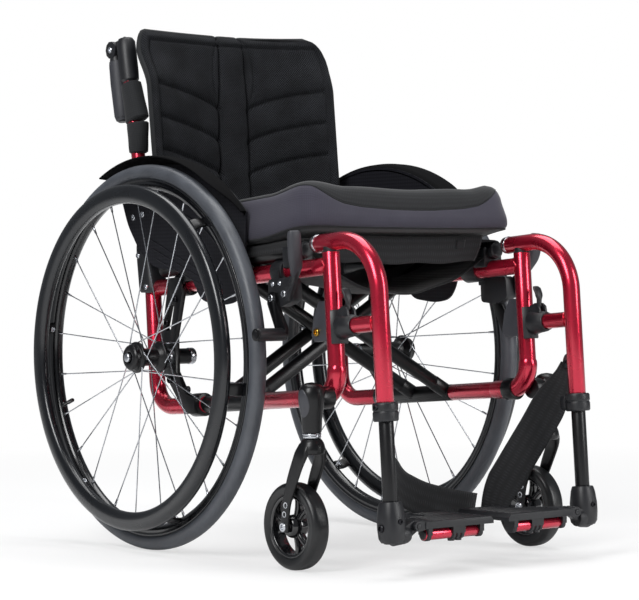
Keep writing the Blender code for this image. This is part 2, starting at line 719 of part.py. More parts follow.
def castor_housing(side):
    """Oval bearing housing of the castor stem, with the clamp that holds it on the lower rail."""
    low = CROWN_Z + CROWN_HEIGHT + 0.0020
    half_l, half_h = HOUSING_LENGTH / 2, HOUSING_HEIGHT / 2
    outline = []
    for j in range(14):
        angle = 2 * math.pi * (j + 0.5) / 14
        p, q = math.cos(angle), math.sin(angle)
        square = (abs(p) ** 3 + abs(q) ** 3) ** (-1 / 3)
        outline.append((STEM_Y + half_l * p * square, low + half_h + half_h * q * square))
    start = CASTOR_X - HOUSING_WIDTH / 2
    body = prism(outline, side * start, side * (CASTOR_X + HOUSING_WIDTH / 2), lambda y, z, h: world(h, y, z))
    clamp_u = 0.352
    x = side * FRAME_X
    clamp = sweep([at(x, clamp_u - 0.036, LOWER_W), at(x, clamp_u - 0.006, LOWER_W)], 0.0185)
    hub_axis = at(x, clamp_u - 0.021, LOWER_W)
    boss = cylinder(hub_axis - LATERAL * (side * 0.024), hub_axis + LATERAL * (side * 0.030), 0.0150)
    bridge_from = hub_axis + LATERAL * (side * 0.026)
    bridge_to = world(side * (start + 0.006), STEM_Y + 0.004, hub_axis.z - 0.002)
    bridge = sweep([bridge_from, bridge_to], 0.0100, 0.0150, sides=8)
    tube_front = route([at(x, FRONT_U, 0.0), at(x, FRONT_U, LOWER_W), at(x, 0.27, LOWER_W)], FRONT_BEND)
    tube = sweep(tube_front, ELBOW_R + GAP)
    stem = bore(world(side * CASTOR_X, STEM_Y, low - 0.01), world(side * CASTOR_X, STEM_Y, low + 0.048),
                0.0080 + GAP, 12)
    seat = cylinder(world(side * CASTOR_X, STEM_Y, low - 0.0012), world(side * CASTOR_X, STEM_Y, low + 0.012),
                    0.0155)
    return cut(union(body, clamp, boss, bridge, seat), stem, tube)


def castor_fork(side):
    """Fork with a stem, two raked legs with a row of holes, and the castor's axle."""
    centre_x = side * CASTOR_X
    inner = CASTOR_WIDTH / 2 + 0.0030
    outer = inner + FORK_PLATE
    top = CROWN_Z + CROWN_HEIGHT
    leg_outline = rounded([(STEM_Y - 0.016, top), (STEM_Y + 0.016, top), (STEM_Y + 0.021, 0.160),
                           (CASTOR_AXLE_Y - 0.002, 0.118), (CASTOR_AXLE_Y + 0.011, 0.085),
                           (CASTOR_AXLE_Y + 0.012, CASTOR_R - 0.010), (CASTOR_AXLE_Y - 0.012, CASTOR_R - 0.010),
                           (CASTOR_AXLE_Y - 0.014, 0.088), (CASTOR_AXLE_Y - 0.030, 0.122),
                           (STEM_Y - 0.010, 0.160)], 0.006, 1)
    solids = [prism(leg_outline, centre_x + inner * s, centre_x + outer * s, lambda y, z, h: world(h, y, z))
              for s in (-1, 1)]
    crown = prism(rounded([(-0.020, -outer), (0.020, -outer), (0.020, outer), (-0.020, outer)], 0.010, 2),
                  CROWN_Z, top, lambda y, x, h: world(centre_x + x, STEM_Y + y, h))
    stem = cylinder(world(centre_x, STEM_Y, CROWN_Z + 0.004), world(centre_x, STEM_Y, top + 0.046), 0.0080)
    washer = cylinder(world(centre_x, STEM_Y, top - 0.002), world(centre_x, STEM_Y, top + 0.0005), 0.0130)
    axle = cylinder(world(centre_x - outer - 0.003, CASTOR_AXLE_Y, CASTOR_R),
                    world(centre_x + outer + 0.003, CASTOR_AXLE_Y, CASTOR_R), 0.0040)
    holes = []
    for k in range(2):
        y, z = CASTOR_AXLE_Y - 0.0015 - 0.003 * k, CASTOR_R + 0.018 + 0.013 * k
        holes.append(cylinder(world(centre_x - 0.04, y, z), world(centre_x + 0.04, y, z), 0.0032, sides=6))
    return cut(union(crown, *solids, stem, washer, axle), *holes)


def castor_wheel(side):
    """Castor wheel with a round tread and three open windows between its webs."""
    sides = 20
    scale = 1 / math.cos(math.pi / sides)
    half = CASTOR_WIDTH / 2
    tread = []
    for radius, x in ((0.0575, -half), (CASTOR_R, -half * 0.42)):
        tread.append((radius * scale, x))
    mirrored = [(radius, -x) for radius, x in reversed(tread)]
    web = 0.0065
    profile = ([(0.0450, -half * 0.85)] + tread + mirrored
               + [(0.0450, half * 0.85), (0.0430, web), (0.0160, web), (0.0150, half), (0.0043, half),
                  (0.0043, -half), (0.0150, -half), (0.0160, -web), (0.0430, -web)])
    centre = world(side * CASTOR_X, CASTOR_AXLE_Y, CASTOR_R)
    wheel = lathe(profile, centre, sides=sides)
    windows = []
    for k in range(3):
        middle = 2 * math.pi * (k + 0.25) / 3
        spread = math.radians(40)
        outline = []
        for i in range(4):
            angle = middle - spread + 2 * spread * i / 3
            outline.append((0.0400 * math.sin(angle), 0.0400 * math.cos(angle)))
        for i in range(3):
            angle = middle + spread * 0.72 - 2 * spread * 0.72 * i / 2
            outline.append((0.0195 * math.sin(angle), 0.0195 * math.cos(angle)))
        windows.append(prism(outline, -0.02, 0.02, lambda y, z, h: centre + Vector((h, y, z))))
    return cut(wheel, *windows)


# Brake

def brake_mount(side):
    """Block under the rail with its clamp and the pins of the lever and the shoe arm."""
    x = side * FRAME_X
    inner, outer = side * 0.1990, side * (BRAKE_PLATE_X - RUNNING_GAP)
    outline = rounded([(-0.268, 0.413), (-0.326, 0.4165), (-0.329, 0.382), (-0.300, 0.3735), (-0.270, 0.376)],
                      0.006, 2)
    body = prism(outline, inner, outer, lambda y, z, h: world(h, y, z))
    clamp = cylinder(at(x, 0.264, UPPER_W), at(x, 0.290, UPPER_W), TUBE_R + 0.0045)
    bridge = block(at(side * 0.2015, 0.280, UPPER_W - 0.010), (0.0060, 0.0160, 0.0240),
                   (LATERAL, ALONG, ACROSS))
    clear = rail_clearance(side, 0.23, 0.35)
    pins = [cylinder(world(side * 0.205, y, z), world(side * (BRAKE_PLATE_X + 0.0075), y, z), 0.0040)
            for y, z in (BRAKE_PIVOT, SHOE_PIVOT)]
    return union(cut(union(body, clamp, bridge), *clear), *pins)


def brake_lever(side):
    """Hand lever that leans outward, on the front pin."""
    y, z = BRAKE_PIVOT
    low, high = side * BRAKE_PLATE_X, side * (BRAKE_PLATE_X + 0.0060)
    outline = rounded([(y + 0.010, z - 0.009), (y + 0.010, z + 0.009), (y - 0.012, z + 0.026),
                       (y - 0.028, z + 0.024), (y - 0.010, z - 0.010)], 0.006, 2)
    foot = prism(outline, low, high, lambda a, b, h: world(h, a, b))
    path = [(0.2190, y - 0.014, z + 0.014), (0.2200, y - 0.024, z + 0.026), (0.2250, y - 0.033, z + 0.040),
            (0.2320, y - 0.039, z + 0.058), (0.2345, y - 0.0405, z + 0.082), (0.2350, y - 0.0410, z + 0.089)]
    wide = [0.0045, 0.0060, 0.0090, 0.0100, 0.0100, 0.0070]
    high_list = [0.0050, 0.0055, 0.0060, 0.0062, 0.0062, 0.0045]
    grip = sweep([world(side * p, q, r) for p, q, r in path], wide, high_list)
    return cut(union(foot, grip), bore(world(side * 0.20, y, z), world(side * 0.24, y, z), 0.0040 + GAP))


def brake_shoe(side):
    """Arm on the rear pin whose roller stops just in front of the tyre."""
    y, z = SHOE_PIVOT
    ry, rz = ROLLER
    low, high = side * BRAKE_PLATE_X, side * (BRAKE_PLATE_X + 0.0055)
    outline = rounded([(y + 0.009, z + 0.009), (y + 0.011, z - 0.008), (ry + 0.009, rz - 0.006),
                       (ry - 0.009, rz - 0.006), (ry - 0.009, rz + 0.010), (y - 0.010, z - 0.006),
                       (y - 0.008, z + 0.009)], 0.005, 2)
    arm = prism(outline, low, high, lambda a, b, h: world(h, a, b))
    roller = cylinder(world(side * (BRAKE_PLATE_X + 0.001), ry, rz), world(side * 0.2680, ry, rz), 0.0092,
                      sides=14)
    cap = cylinder(world(side * 0.2670, ry, rz), world(side * 0.2700, ry, rz), 0.0065)
    return cut(union(arm, roller, cap), bore(world(side * 0.20, y, z), world(side * 0.24, y, z), 0.0040 + GAP))


# Hanger and footrest

def hanger_tube(side):
    """Bent tube with the pivot pin under its rear end and the stub that reaches back to the latch."""
    x = side * FRAME_X
    bend = route([at(x, HANGER_REAR_U + 0.004, HANGER_TOP_W), at(x, HANGER_U, HANGER_TOP_W),
                  at(x, HANGER_U, HANGER_LOW_W)], HANGER_BEND, 6)
    points = [at(x, HANGER_REAR_U, HANGER_TOP_W)] + bend
    sizes = [TUBE_R * 0.80] + [TUBE_R] * len(bend)
    tube = sweep(points, sizes, sizes)
    pin = cylinder(at(x, FRONT_U, FRONT_TOP_W - PIN_DEPTH), at(x, FRONT_U, HANGER_TOP_W), PIN_R)
    stub = cylinder(at(x, FRONT_U + 0.034, STUB_W), at(x, HANGER_U, STUB_W), STUB_R)
    inside = bore(at(x, HANGER_U, HANGER_LOW_W - 0.01), at(x, HANGER_U, HANGER_LOW_W + 0.045),
                  FOOT_TUBE_R + GAP, 12)
    return cut(union(tube, pin, stub), inside)


def hanger_latch_block(side):
    """Moulded block that hugs the front of the frame tube and holds the stub and the latch lever."""
    x = side * FRAME_X
    half_angle = math.radians(57)
    inner, outer = TUBE_R + RUNNING_GAP, 0.0180
    outline = [(inner * math.sin(a), inner * math.cos(a))
               for a in np.linspace(-half_angle, half_angle, 6)]
    outline += [(outer * math.sin(a), outer * math.cos(a))
                for a in np.linspace(half_angle, -half_angle, 6)]
    low, high = STUB_W - BLOCK_HALF_HEIGHT, STUB_W + BLOCK_HALF_HEIGHT
    shell = prism(outline, low, high, lambda a, b, h: at(x + a, FRONT_U + b, h))
    socket = sweep([at(x, FRONT_U + s, STUB_W) for s in (0.0160, 0.034, 0.0460, 0.0480)],
                   [0.0160, 0.0155, 0.0150, 0.0138], [0.0190, 0.0165, 0.0150, 0.0138])
    ears = [prism(rounded([(0.014, STUB_W + 0.008), (0.014, STUB_W + 0.0225), (0.032, STUB_W + 0.0290),
                           (0.039, STUB_W + 0.0235), (0.041, STUB_W + 0.008)], 0.003, 2),
                  x + s * 0.0045, x + s * 0.0080, lambda a, b, h: at(h, FRONT_U + a, b)) for s in (-1, 1)]
    seat = bore(at(x, FRONT_U + 0.034 - GAP, STUB_W), at(x, HANGER_U, STUB_W), STUB_R + GAP)
    post = bore(at(x, FRONT_U, low - 0.01), at(x, FRONT_U, high + 0.01), inner, 12)
    pin = cylinder(at(x - 0.0078, LATCH_U, LATCH_W), at(x + 0.0078, LATCH_U, LATCH_W), 0.0020, sides=8)
    return union(cut(union(shell, socket, *ears), seat, post), pin)


def latch_lever(side):
    """Curved release lever between the ears of the latch block."""
    x = side * FRAME_X
    points = [(0.0000, -0.0010), (0.0000, 0.0075), (0.0008, 0.0120), (0.0004, 0.0190), (-0.0030, 0.0265),
              (-0.0060, 0.0305)]
    path = [at(x, LATCH_U + a, LATCH_W + b) for a, b in points]
    lever = sweep(path, [0.0038, 0.0038, 0.0064, 0.0070, 0.0070, 0.0052],
                  [0.0032, 0.0034, 0.0030, 0.0030, 0.0026, 0.0014], sides=8)
    boss = cylinder(at(x - 0.0041, LATCH_U, LATCH_W), at(x + 0.0041, LATCH_U, LATCH_W), 0.0048)
    eye = bore(at(x - 0.01, LATCH_U, LATCH_W), at(x + 0.01, LATCH_U, LATCH_W), 0.0020 + GAP, 8)
    return cut(union(lever, boss), eye)


def hanger_collar(side):
    """Clamp collar at the foot of the hanger, with the lug that holds the calf strap."""
    x = side * FRAME_X
    low, high = HANGER_LOW_W - 0.0030, HANGER_LOW_W + 0.0220
    ring = cylinder(at(x, HANGER_U, low), at(x, HANGER_U, high), 0.0180, sides=14)
    tube = bore(at(x, HANGER_U, HANGER_LOW_W - GAP), at(x, HANGER_U, high + 0.01), TUBE_R + GAP, 12)
    inner = bore(at(x, HANGER_U, low - 0.01), at(x, HANGER_U, high), FOOT_TUBE_R + GAP, 12)
    lug = block(at(x - side * 0.0080, HANGER_U - 0.0190, HANGER_LOW_W + 0.0095), (0.0050, 0.0110, 0.0220),
                (LATERAL, ALONG, ACROSS))
    return cut(union(ring, lug), tube, inner)


def footrest_tube(side):
    """Telescopic tube from inside the hanger down into the elbow."""
    x = side * FRAME_X
    return cylinder(at(x, HANGER_U, HANGER_LOW_W + 0.042), world(x, FOOT_Y, FOOT_Z) + ACROSS * 0.004,
                    FOOT_TUBE_R)


def footrest_elbow(side):
    """Elbow under the footrest tube, whose arm ends in the knuckle and pin of the footplate's hinge."""
    x = side * FRAME_X
    centre = world(x, FOOT_Y, FOOT_Z)
    boss = sweep([centre + ACROSS * s for s in (-0.020, -0.013, 0.012, 0.0375)],
                 [0.0120, 0.0170, ELBOW_BOSS_R, 0.0150], [0.0120, 0.0180, 0.0195, 0.0155])
    arm = sweep([world(side * a, HINGE_Y + b, z) for a, b, z in
                 ((FRAME_X, 0.004, 0.0600), (0.1680, 0.001, 0.0600), (0.1625, 0.0, 0.0600))],
                [0.0150, 0.0132, 0.0115], [0.0150, 0.0132, 0.0115], normal=UP)
    web = prism([(0.1720, 0.0500), (0.1720, 0.0720), (0.1570, HINGE_Z + 0.0072), (0.1450, HINGE_Z + 0.0030),
                 (0.1450, HINGE_Z - 0.0040), (0.1520, HINGE_Z - 0.0085)], -KNUCKLE_HALF, KNUCKLE_HALF,
                lambda a, z, h: world(side * a, HINGE_Y + h, z))
    eye = [world(side * PLATE_HINGE_X, HINGE_Y + h, HINGE_Z) for h in
           (-KNUCKLE_HALF - 0.0075, -KNUCKLE_HALF, KNUCKLE_HALF, KNUCKLE_HALF + 0.0075)]
    knuckle = cylinder(eye[1], eye[2], KNUCKLE_R)
    pin = cylinder(eye[0], eye[3], 0.0036, sides=8)
    inside = bore(centre + ACROSS * (0.004 - GAP), centre + ACROSS * 0.06, FOOT_TUBE_R + GAP, 12)
    return cut(union(boss, arm, web, knuckle, pin), inside)


def footplate(side):
    """Half of the platform with its hinge ears and the bar under it. The corner at the heel clears the castor."""
    hinge = PLATE_HINGE_X
    low = PLATE_TOP_Z - PLATE_THICKNESS
    notch = 0.0182
    outline = [(hinge - 0.0115, PLATE_FRONT_Y), (PLATE_END_X, PLATE_FRONT_Y), (PLATE_END_X, PLATE_REAR_Y),
               (0.0860, PLATE_REAR_Y), (0.0925, PLATE_REAR_Y - 0.006), (0.0925, PLATE_REAR_Y - 0.041),
               (0.1000, PLATE_REAR_Y - 0.0485), (hinge - 0.0050, -0.4860),
               (hinge - 0.0030, HINGE_Y + notch), (hinge - 0.0115, HINGE_Y + notch - 0.002)]
    plate = prism(outline, low, PLATE_TOP_Z, lambda a, y, h: world(side * a, y, h))
    slope = prism([(PLATE_END_X - 0.001, PLATE_TOP_Z - PLATE_END_CHAMFER - 0.001),
                   (PLATE_END_X + PLATE_END_CHAMFER + 0.001, PLATE_TOP_Z + 0.001),
                   (PLATE_END_X - 0.001, PLATE_TOP_Z + 0.001)], PLATE_FRONT_Y - 0.002, PLATE_REAR_Y + 0.002,
                  lambda a, z, h: world(side * a, h, z))
    plate = cut(plate, slope)
    ears = []
    for s in (-1, 1):
        near, far = s * (KNUCKLE_HALF + GAP), s * (KNUCKLE_HALF + 0.0070)
        ears.append(prism([(hinge - 0.0150, low), (hinge - 0.0020, HINGE_Z - 0.0072),
                           (hinge + 0.0035, HINGE_Z - 0.0066), (hinge + 0.0072, HINGE_Z - 0.0020),
                           (hinge + 0.0072, HINGE_Z + 0.0020), (hinge + 0.0035, HINGE_Z + 0.0066),
                           (hinge - 0.0020, HINGE_Z + 0.0072), (hinge - 0.0150, PLATE_TOP_Z)], near, far,
                          lambda a, z, h: world(side * a, HINGE_Y + h, z)))
    pin = bore(world(side * hinge, HINGE_Y - 0.03, HINGE_Z), world(side * hinge, HINGE_Y + 0.03, HINGE_Z),
               0.0036 + GAP, 8)
    bar = sweep([world(side * a, HINGE_Y, BAR_Z) for a in (0.1360, 0.1340, 0.0320, 0.0300)],
                [0.0060, BAR_R, BAR_R, 0.0060], [0.0060, BAR_R, BAR_R, 0.0060], normal=UP)
    ribs = [block(world(side * a, HINGE_Y, (low + BAR_Z) / 2 + 0.0005), (wide, 0.0220, low - BAR_Z + 0.0030))
            for a, wide in ((0.1290, 0.008), (0.0755, 0.0230), (0.0330, 0.008))]
    pegs = [cylinder(world(side * a, HINGE_Y, BAR_Z - 0.0120), world(side * a, HINGE_Y, BAR_Z), 0.0050, 0.0060,
                     sides=6) for a in (0.0690, 0.0820)]
    solid = union(plate, bar, *ribs, *pegs)
    return cut(union(solid, *ears), pin)


# Cross-brace and seat

def cross_arm(side):
    """Two struts from the sleeve on one lower rail to the seat tube over the other.

    The arm that starts on the right also carries the bolt on which both arms turn.
    """
    low_x, high_x = side * FRAME_X, -side * FRAME_X
    stations = [u + (ARM_STAGGER if side > 0 else 0) for u in ARM_A_U]
    middle = (LOWER_W + SEAT_TUBE_W) / 2
    struts = [sweep([at(low_x, u, LOWER_W), at(high_x, u, SEAT_TUBE_W)], ARM_HALF_WIDTH, ARM_HALF_HEIGHT,
                    normal=ALONG) for u in stations]
    sleeve = cylinder(at(low_x, SLEEVE_REAR_U + RUNNING_GAP, LOWER_W),
                      at(low_x, SLEEVE_FRONT_U - RUNNING_GAP, LOWER_W), TUBE_R)
    tube = sweep([at(high_x, u, SEAT_TUBE_W) for u in
                  (SEAT_TUBE_REAR_U, SEAT_TUBE_REAR_U + 0.002, SEAT_TUBE_FRONT_U - 0.002, SEAT_TUBE_FRONT_U)],
                 [0.0108, SEAT_TUBE_R, SEAT_TUBE_R, 0.0108], [0.0108, SEAT_TUBE_R, SEAT_TUBE_R, 0.0108])
    rod = bore(at(low_x, 0.04, LOWER_W), at(low_x, 0.24, LOWER_W), PIVOT_ROD_R + GAP)
    solid = cut(union(sleeve, *struts, tube), rod)
    first, last = ARM_A_U[0] - ARM_HALF_WIDTH, ARM_A_U[1] + ARM_STAGGER + ARM_HALF_WIDTH
    if side < 0:
        bolt = cylinder(at(0, first - 0.004, middle), at(0, last + 0.004, middle), BOLT_R, sides=8)
        heads = [cylinder(at(0, first - 0.006, middle), at(0, first + 0.002, middle), 0.0085),
                 cylinder(at(0, last + 0.0012, middle), at(0, last + 0.0060, middle), 0.0085)]
        return union(solid, bolt, *heads)
    hole = bore(at(0, 0.05, middle), at(0, 0.25, middle), BOLT_R + GAP, 8)
    return cut(solid, hole)


def seat_sling():
    """Seat cloth pulled over the two seat tubes, sagging a little between them."""
    across, along = 10, 4
    rear, front = SEAT_TUBE_REAR_U + 0.008, SEAT_TUBE_FRONT_U - 0.004
    half = FRAME_X + 0.004
    low = SEAT_TUBE_W + SEAT_TUBE_R + GAP
    sheets = []
    for thick in (0, 1):
        sheet = []
        for i in range(along + 1):
            v = i / along
            row = []
            for j in range(across + 1):
                t = -1 + 2 * j / across
                sag = 0.0 if abs(t) > 0.9 else 0.006 * math.cos(t * math.pi / 1.8) ** 2
                row.append(at(half * t, rear + (front - rear) * v, low + SLING_THICKNESS * thick - sag))
            sheet.append(row)
        sheets.append(sheet)
    return sheet_solid(*sheets)


def sheet_solid(lower, upper):
    """Closed solid between two grids of points."""
    rows, columns = len(lower), len(lower[0])
    verts = [p for sheet in (lower, upper) for row in sheet for p in row]
    size = rows * columns
    faces = []
    for i in range(rows - 1):
        for j in range(columns - 1):
            a = i * columns + j
            faces.append((a, a + 1, a + columns + 1, a + columns))
            faces.append((size + a, size + a + columns, size + a + columns + 1, size + a + 1))
    edge = [j for j in range(columns)] + [i * columns + columns - 1 for i in range(1, rows)]
    edge += [(rows - 1) * columns + j for j in range(columns - 2, -1, -1)]
    edge += [i * columns for i in range(rows - 2, 0, -1)]
    for a, b in zip(edge, edge[1:] + edge[:1]):
        faces.append((a, b, size + b, size + a))
    return mesh_from(verts, faces)


def seat_cushion():
    """Cushion with a crown, bulging sides, a dished seat and a seam channel round its border."""
    steps = 32
    half_x = CUSHION_WIDTH / 2
    half_u = (CUSHION_FRONT_U - CUSHION_REAR_U) / 2
    middle_u = (CUSHION_FRONT_U + CUSHION_REAR_U) / 2
    base = SEAT_TUBE_W + SEAT_TUBE_R + GAP + SLING_THICKNESS + GAP

    def loop(shrink, height, power):
        ring = []
        for j in range(steps):
            angle = 2 * math.pi * (j + 0.5) / steps
            p, q = math.cos(angle), math.sin(angle)
            square = (abs(p) ** power + abs(q) ** power) ** (-1 / power)
            ring.append((p * square * (half_x - shrink), q * square * (half_u - shrink), height))
        return ring

    profile = [(0.016, 0.0, 9), (0.004, 0.007, 9), (0.0, 0.026, 9), (0.0015, 0.034, 9), (0.0, 0.042, 9),
               (0.005, 0.056, 8), (0.012, CUSHION_HEIGHT - 0.004, 8), (0.0145, CUSHION_HEIGHT - 0.0060, 8),
               (0.020, CUSHION_HEIGHT, 7), (0.050, CUSHION_HEIGHT + 0.004, 6), (0.090, CUSHION_HEIGHT + 0.006, 4),
               (0.135, CUSHION_HEIGHT + 0.006, 3)]
    rings = []
    for shrink, height, power in profile:
        ring = []
        for x, v, h in loop(shrink, height, power):
            top = max(0.0, min(1.0, (h - 0.050) / 0.018))
            dish = top * (0.5 - 0.5 * math.cos(math.pi * min(1.0, max(0.0, (v + half_u) / (2 * half_u)))))
            rise = top * CUSHION_CROWN * (0.35 * dish - 0.25 * (1 - dish) * (1 - abs(x) / half_x))
            thigh = top * 0.004 * math.cos(2 * math.pi * x / (half_x * 1.05))
            ring.append(at(x, middle_u + v, base + h + rise - thigh * dish))
        rings.append(ring)
    return rings_mesh(rings)


def back_upholstery():
    """Padded back with a centre strip, three curved seams a side and rounded top corners."""
    across, up = 16, 16
    low, high = BACK_LOW, BACK_HIGH
    corner = 0.050

    def seam(t, s):
        depth = 0.0
        for k in range(3):
            place = 0.66 - 0.155 * k + (0.075 if abs(t) < 0.16 else 0.075 * (abs(t) - 0.16) / 0.84)
            depth += 0.0050 * math.exp(-((s - place) / 0.022) ** 2) * min(1.0, max(0.0, (abs(t) - 0.13) / 0.05))
        return depth

    def side_forward(height):
        flare = min(1.0, max(0.0, (height - 0.295) / 0.075))
        return 0.0416 + 0.072 * height - 0.024 * flare * flare * (3 - 2 * flare)

    sheets = []
    for front in (0, 1):
        sheet = []
        for i in range(up + 1):
            s = i / up
            height = low + (high - low) * s
            over = max(0.0, height - (high - corner))
            inset = corner - math.sqrt(max(0.0, corner ** 2 - over ** 2))
            half = BACK_HALF_WIDTH - inset - 0.003 * (1 - s)
            ahead = side_forward(height)
            row = []
            for j in range(across + 1):
                t = -1 + 2 * j / across
                if front:
                    edge = max(0.0, min((1 - abs(t)) / 0.10, (1 - s) / 0.06, s / 0.06, 1.0))
                    strip = 0.0025 if abs(t) < 0.13 else 0.0
                    n = (BACK_CENTRE_N + (ahead - BACK_CENTRE_N) * t * t - strip - seam(t, s)
                         - 0.45 * BACK_THICKNESS * (1 - math.sin(math.pi / 2 * edge)))
                elif abs(t) > 0.95:
                    n = ahead - BACK_THICKNESS
                else:
                    n = BACK_REAR_N - 0.010 * (1 - t * t)
                row.append(on_cane(half * t, height, n))
            sheet.append(row)
        sheets.append(sheet)
    return sheet_solid(*sheets)


def calf_strap(side):
    """Slack band from the collar down behind the legs. The right half hangs lower and laps in front of the left."""
    if side < 0:
        path = [(0.1698, -0.4745, 0.2285), (0.1600, -0.4690, 0.2230), (0.1500, -0.4610, 0.1900),
                (0.1350, -0.4470, 0.1480), (0.1000, -0.4265, 0.1155), (0.0450, -0.4095, 0.0940),
                (-0.0100, -0.4085, 0.0800), (-0.0600, -0.4085, 0.0710)]
    else:
        path = [(0.1698, -0.4745, 0.2285), (0.1600, -0.4690, 0.2230), (0.1470, -0.4620, 0.2000),
                (0.1250, -0.4490, 0.1580), (0.0980, -0.4300, 0.1200), (0.0700, -0.4020, 0.0900),
                (0.0450, -0.3990, 0.0780)]
    lower, upper = [], []
    for i, (a, y, z) in enumerate(path):
        b = path[min(i + 1, len(path) - 1)]
        c = path[max(i - 1, 0)]
        along = Vector((b[0] - c[0], b[1] - c[1], b[2] - c[2])).normalized()
        out = along.cross(UP).normalized()
        wide = out.cross(along).normalized()
        half = (0.0100, 0.0130, 0.0190, 0.0250)[min(i, 3)]
        rows = []
        for k in range(5):
            h = (k / 4 - 0.5) * 2 * half
            rows.append(Vector((a, y, z)) + wide * h)
        lower.append([world(side * p.x, p.y, p.z) for p in rows])
        upper.append([world(side * (p + out * 0.0018).x, (p + out * 0.0018).y, (p + out * 0.0018).z)
                      for p in rows])
    return sheet_solid(lower, upper)


# Build

def build():
    """Makes every piece in place, each moving one on an empty at its joint."""
    for name, side in SIDES.items():
        x = side * FRAME_X
        pivot("wheel_" + name, AXLE + LATERAL * (side * WHEEL_X))
        pivot("castor_fork_" + name, world(side * CASTOR_X, STEM_Y, CROWN_Z))
        pivot("castor_wheel_" + name, world(side * CASTOR_X, CASTOR_AXLE_Y, CASTOR_R))
        pivot("brake_lever_" + name, world(side * BRAKE_PLATE_X, *BRAKE_PIVOT))
        pivot("brake_shoe_" + name, world(side * BRAKE_PLATE_X, *SHOE_PIVOT))
        pivot("hanger_" + name, at(x, FRONT_U, FRONT_TOP_W))
        pivot("latch_lever_" + name, at(x, LATCH_U, LATCH_W))
        pivot("footplate_" + name, world(side * PLATE_HINGE_X, HINGE_Y, HINGE_Z))
        pivot("push_handle_" + name, on_cane(x, HANDLE_PIVOT, -HANDLE_OFFSET))
    pivot("cross_arm_a", at(-FRAME_X, SLEEVE_REAR_U, LOWER_W))
    pivot("cross_arm_b", at(0, ARM_A_U[0], (LOWER_W + SEAT_TUBE_W) / 2))
    pivot("frame_left", at(FRAME_X, SLEEVE_REAR_U, LOWER_W))
    for name, side in SIDES.items():
        frame = "frame_left" if side > 0 else None
        wheel, hanger = "wheel_" + name, "hanger_" + name
        piece("side_frame_" + name, side_frame(side), "red_paint", frame)
        piece("seat_saddle_" + name, seat_saddle(side), "black_plastic", frame)
        piece("hanger_catch_" + name, hanger_catch(side), "black_plastic", frame)
        piece("cane_socket_" + name, cane_socket(side), "black_plastic", frame)
        piece("back_cane_" + name, back_cane(side), "black_metal", frame)
        piece("push_handle_" + name, push_handle(side), "black_plastic", "push_handle_" + name)
        piece("axle_bracket_" + name, axle_bracket(side), "black_metal", frame)
        piece("sideguard_" + name, sideguard(side), "gloss_shell", frame)
        piece("castor_housing_" + name, castor_housing(side), "black_metal", frame)
        piece("castor_fork_" + name, castor_fork(side), "black_metal", "castor_fork_" + name)
        piece("castor_wheel_" + name, castor_wheel(side), "castor_rubber", "castor_wheel_" + name)
        piece("brake_mount_" + name, brake_mount(side), "black_plastic", frame)
        piece("brake_lever_" + name, brake_lever(side), "black_plastic", "brake_lever_" + name)
        piece("brake_shoe_" + name, brake_shoe(side), "black_metal", "brake_shoe_" + name)
        piece("tyre_" + name, tyre(side), "tyre_rubber", wheel)
        piece("rim_" + name, rim(side), "black_metal", wheel)
        piece("hub_" + name, hub(side), "black_metal", wheel)
        piece("handrim_" + name, handrim(side), "black_metal", wheel)
        piece("axle_button_" + name, axle_button(side), "bright_steel", wheel)
        piece("hanger_tube_" + name, hanger_tube(side), "red_paint", hanger)
        piece("hanger_latch_block_" + name, hanger_latch_block(side), "black_plastic", hanger)
        piece("latch_lever_" + name, latch_lever(side), "black_plastic", "latch_lever_" + name)
        piece("hanger_collar_" + name, hanger_collar(side), "black_plastic", hanger)
        piece("footrest_tube_" + name, footrest_tube(side), "black_metal", hanger)
        piece("footrest_elbow_" + name, footrest_elbow(side), "black_plastic", hanger)
        piece("footplate_" + name, footplate(side), "black_plastic", "footplate_" + name)
        piece("calf_strap_" + name, calf_strap(side), "webbing", hanger)
    piece("cross_arm_a", cross_arm(-1), "black_metal", "cross_arm_a")
    piece("cross_arm_b", cross_arm(1), "black_metal", "cross_arm_b")
    piece("seat_sling", seat_sling(), "webbing", "cross_arm_a")
    piece("seat_cushion", seat_cushion(), "cushion_cloth")
    piece("back_upholstery", back_upholstery(), "back_cloth")


for old in list(bpy.data.objects):
    bpy.data.objects.remove(old, do_unlink=True)
build()
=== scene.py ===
"""Folding active wheelchair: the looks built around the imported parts.

Lengths are in metres. -Y is the way the chair faces, +X is the user's left and +Z is up.
The side frames stand in a frame of their own that leans back by TILT: u runs forward along the rails
from the rear axle, and w runs up at a right angle to them.
"""

import json
import math

import bmesh
import bpy
import numpy as np
from mathutils import Matrix, Vector

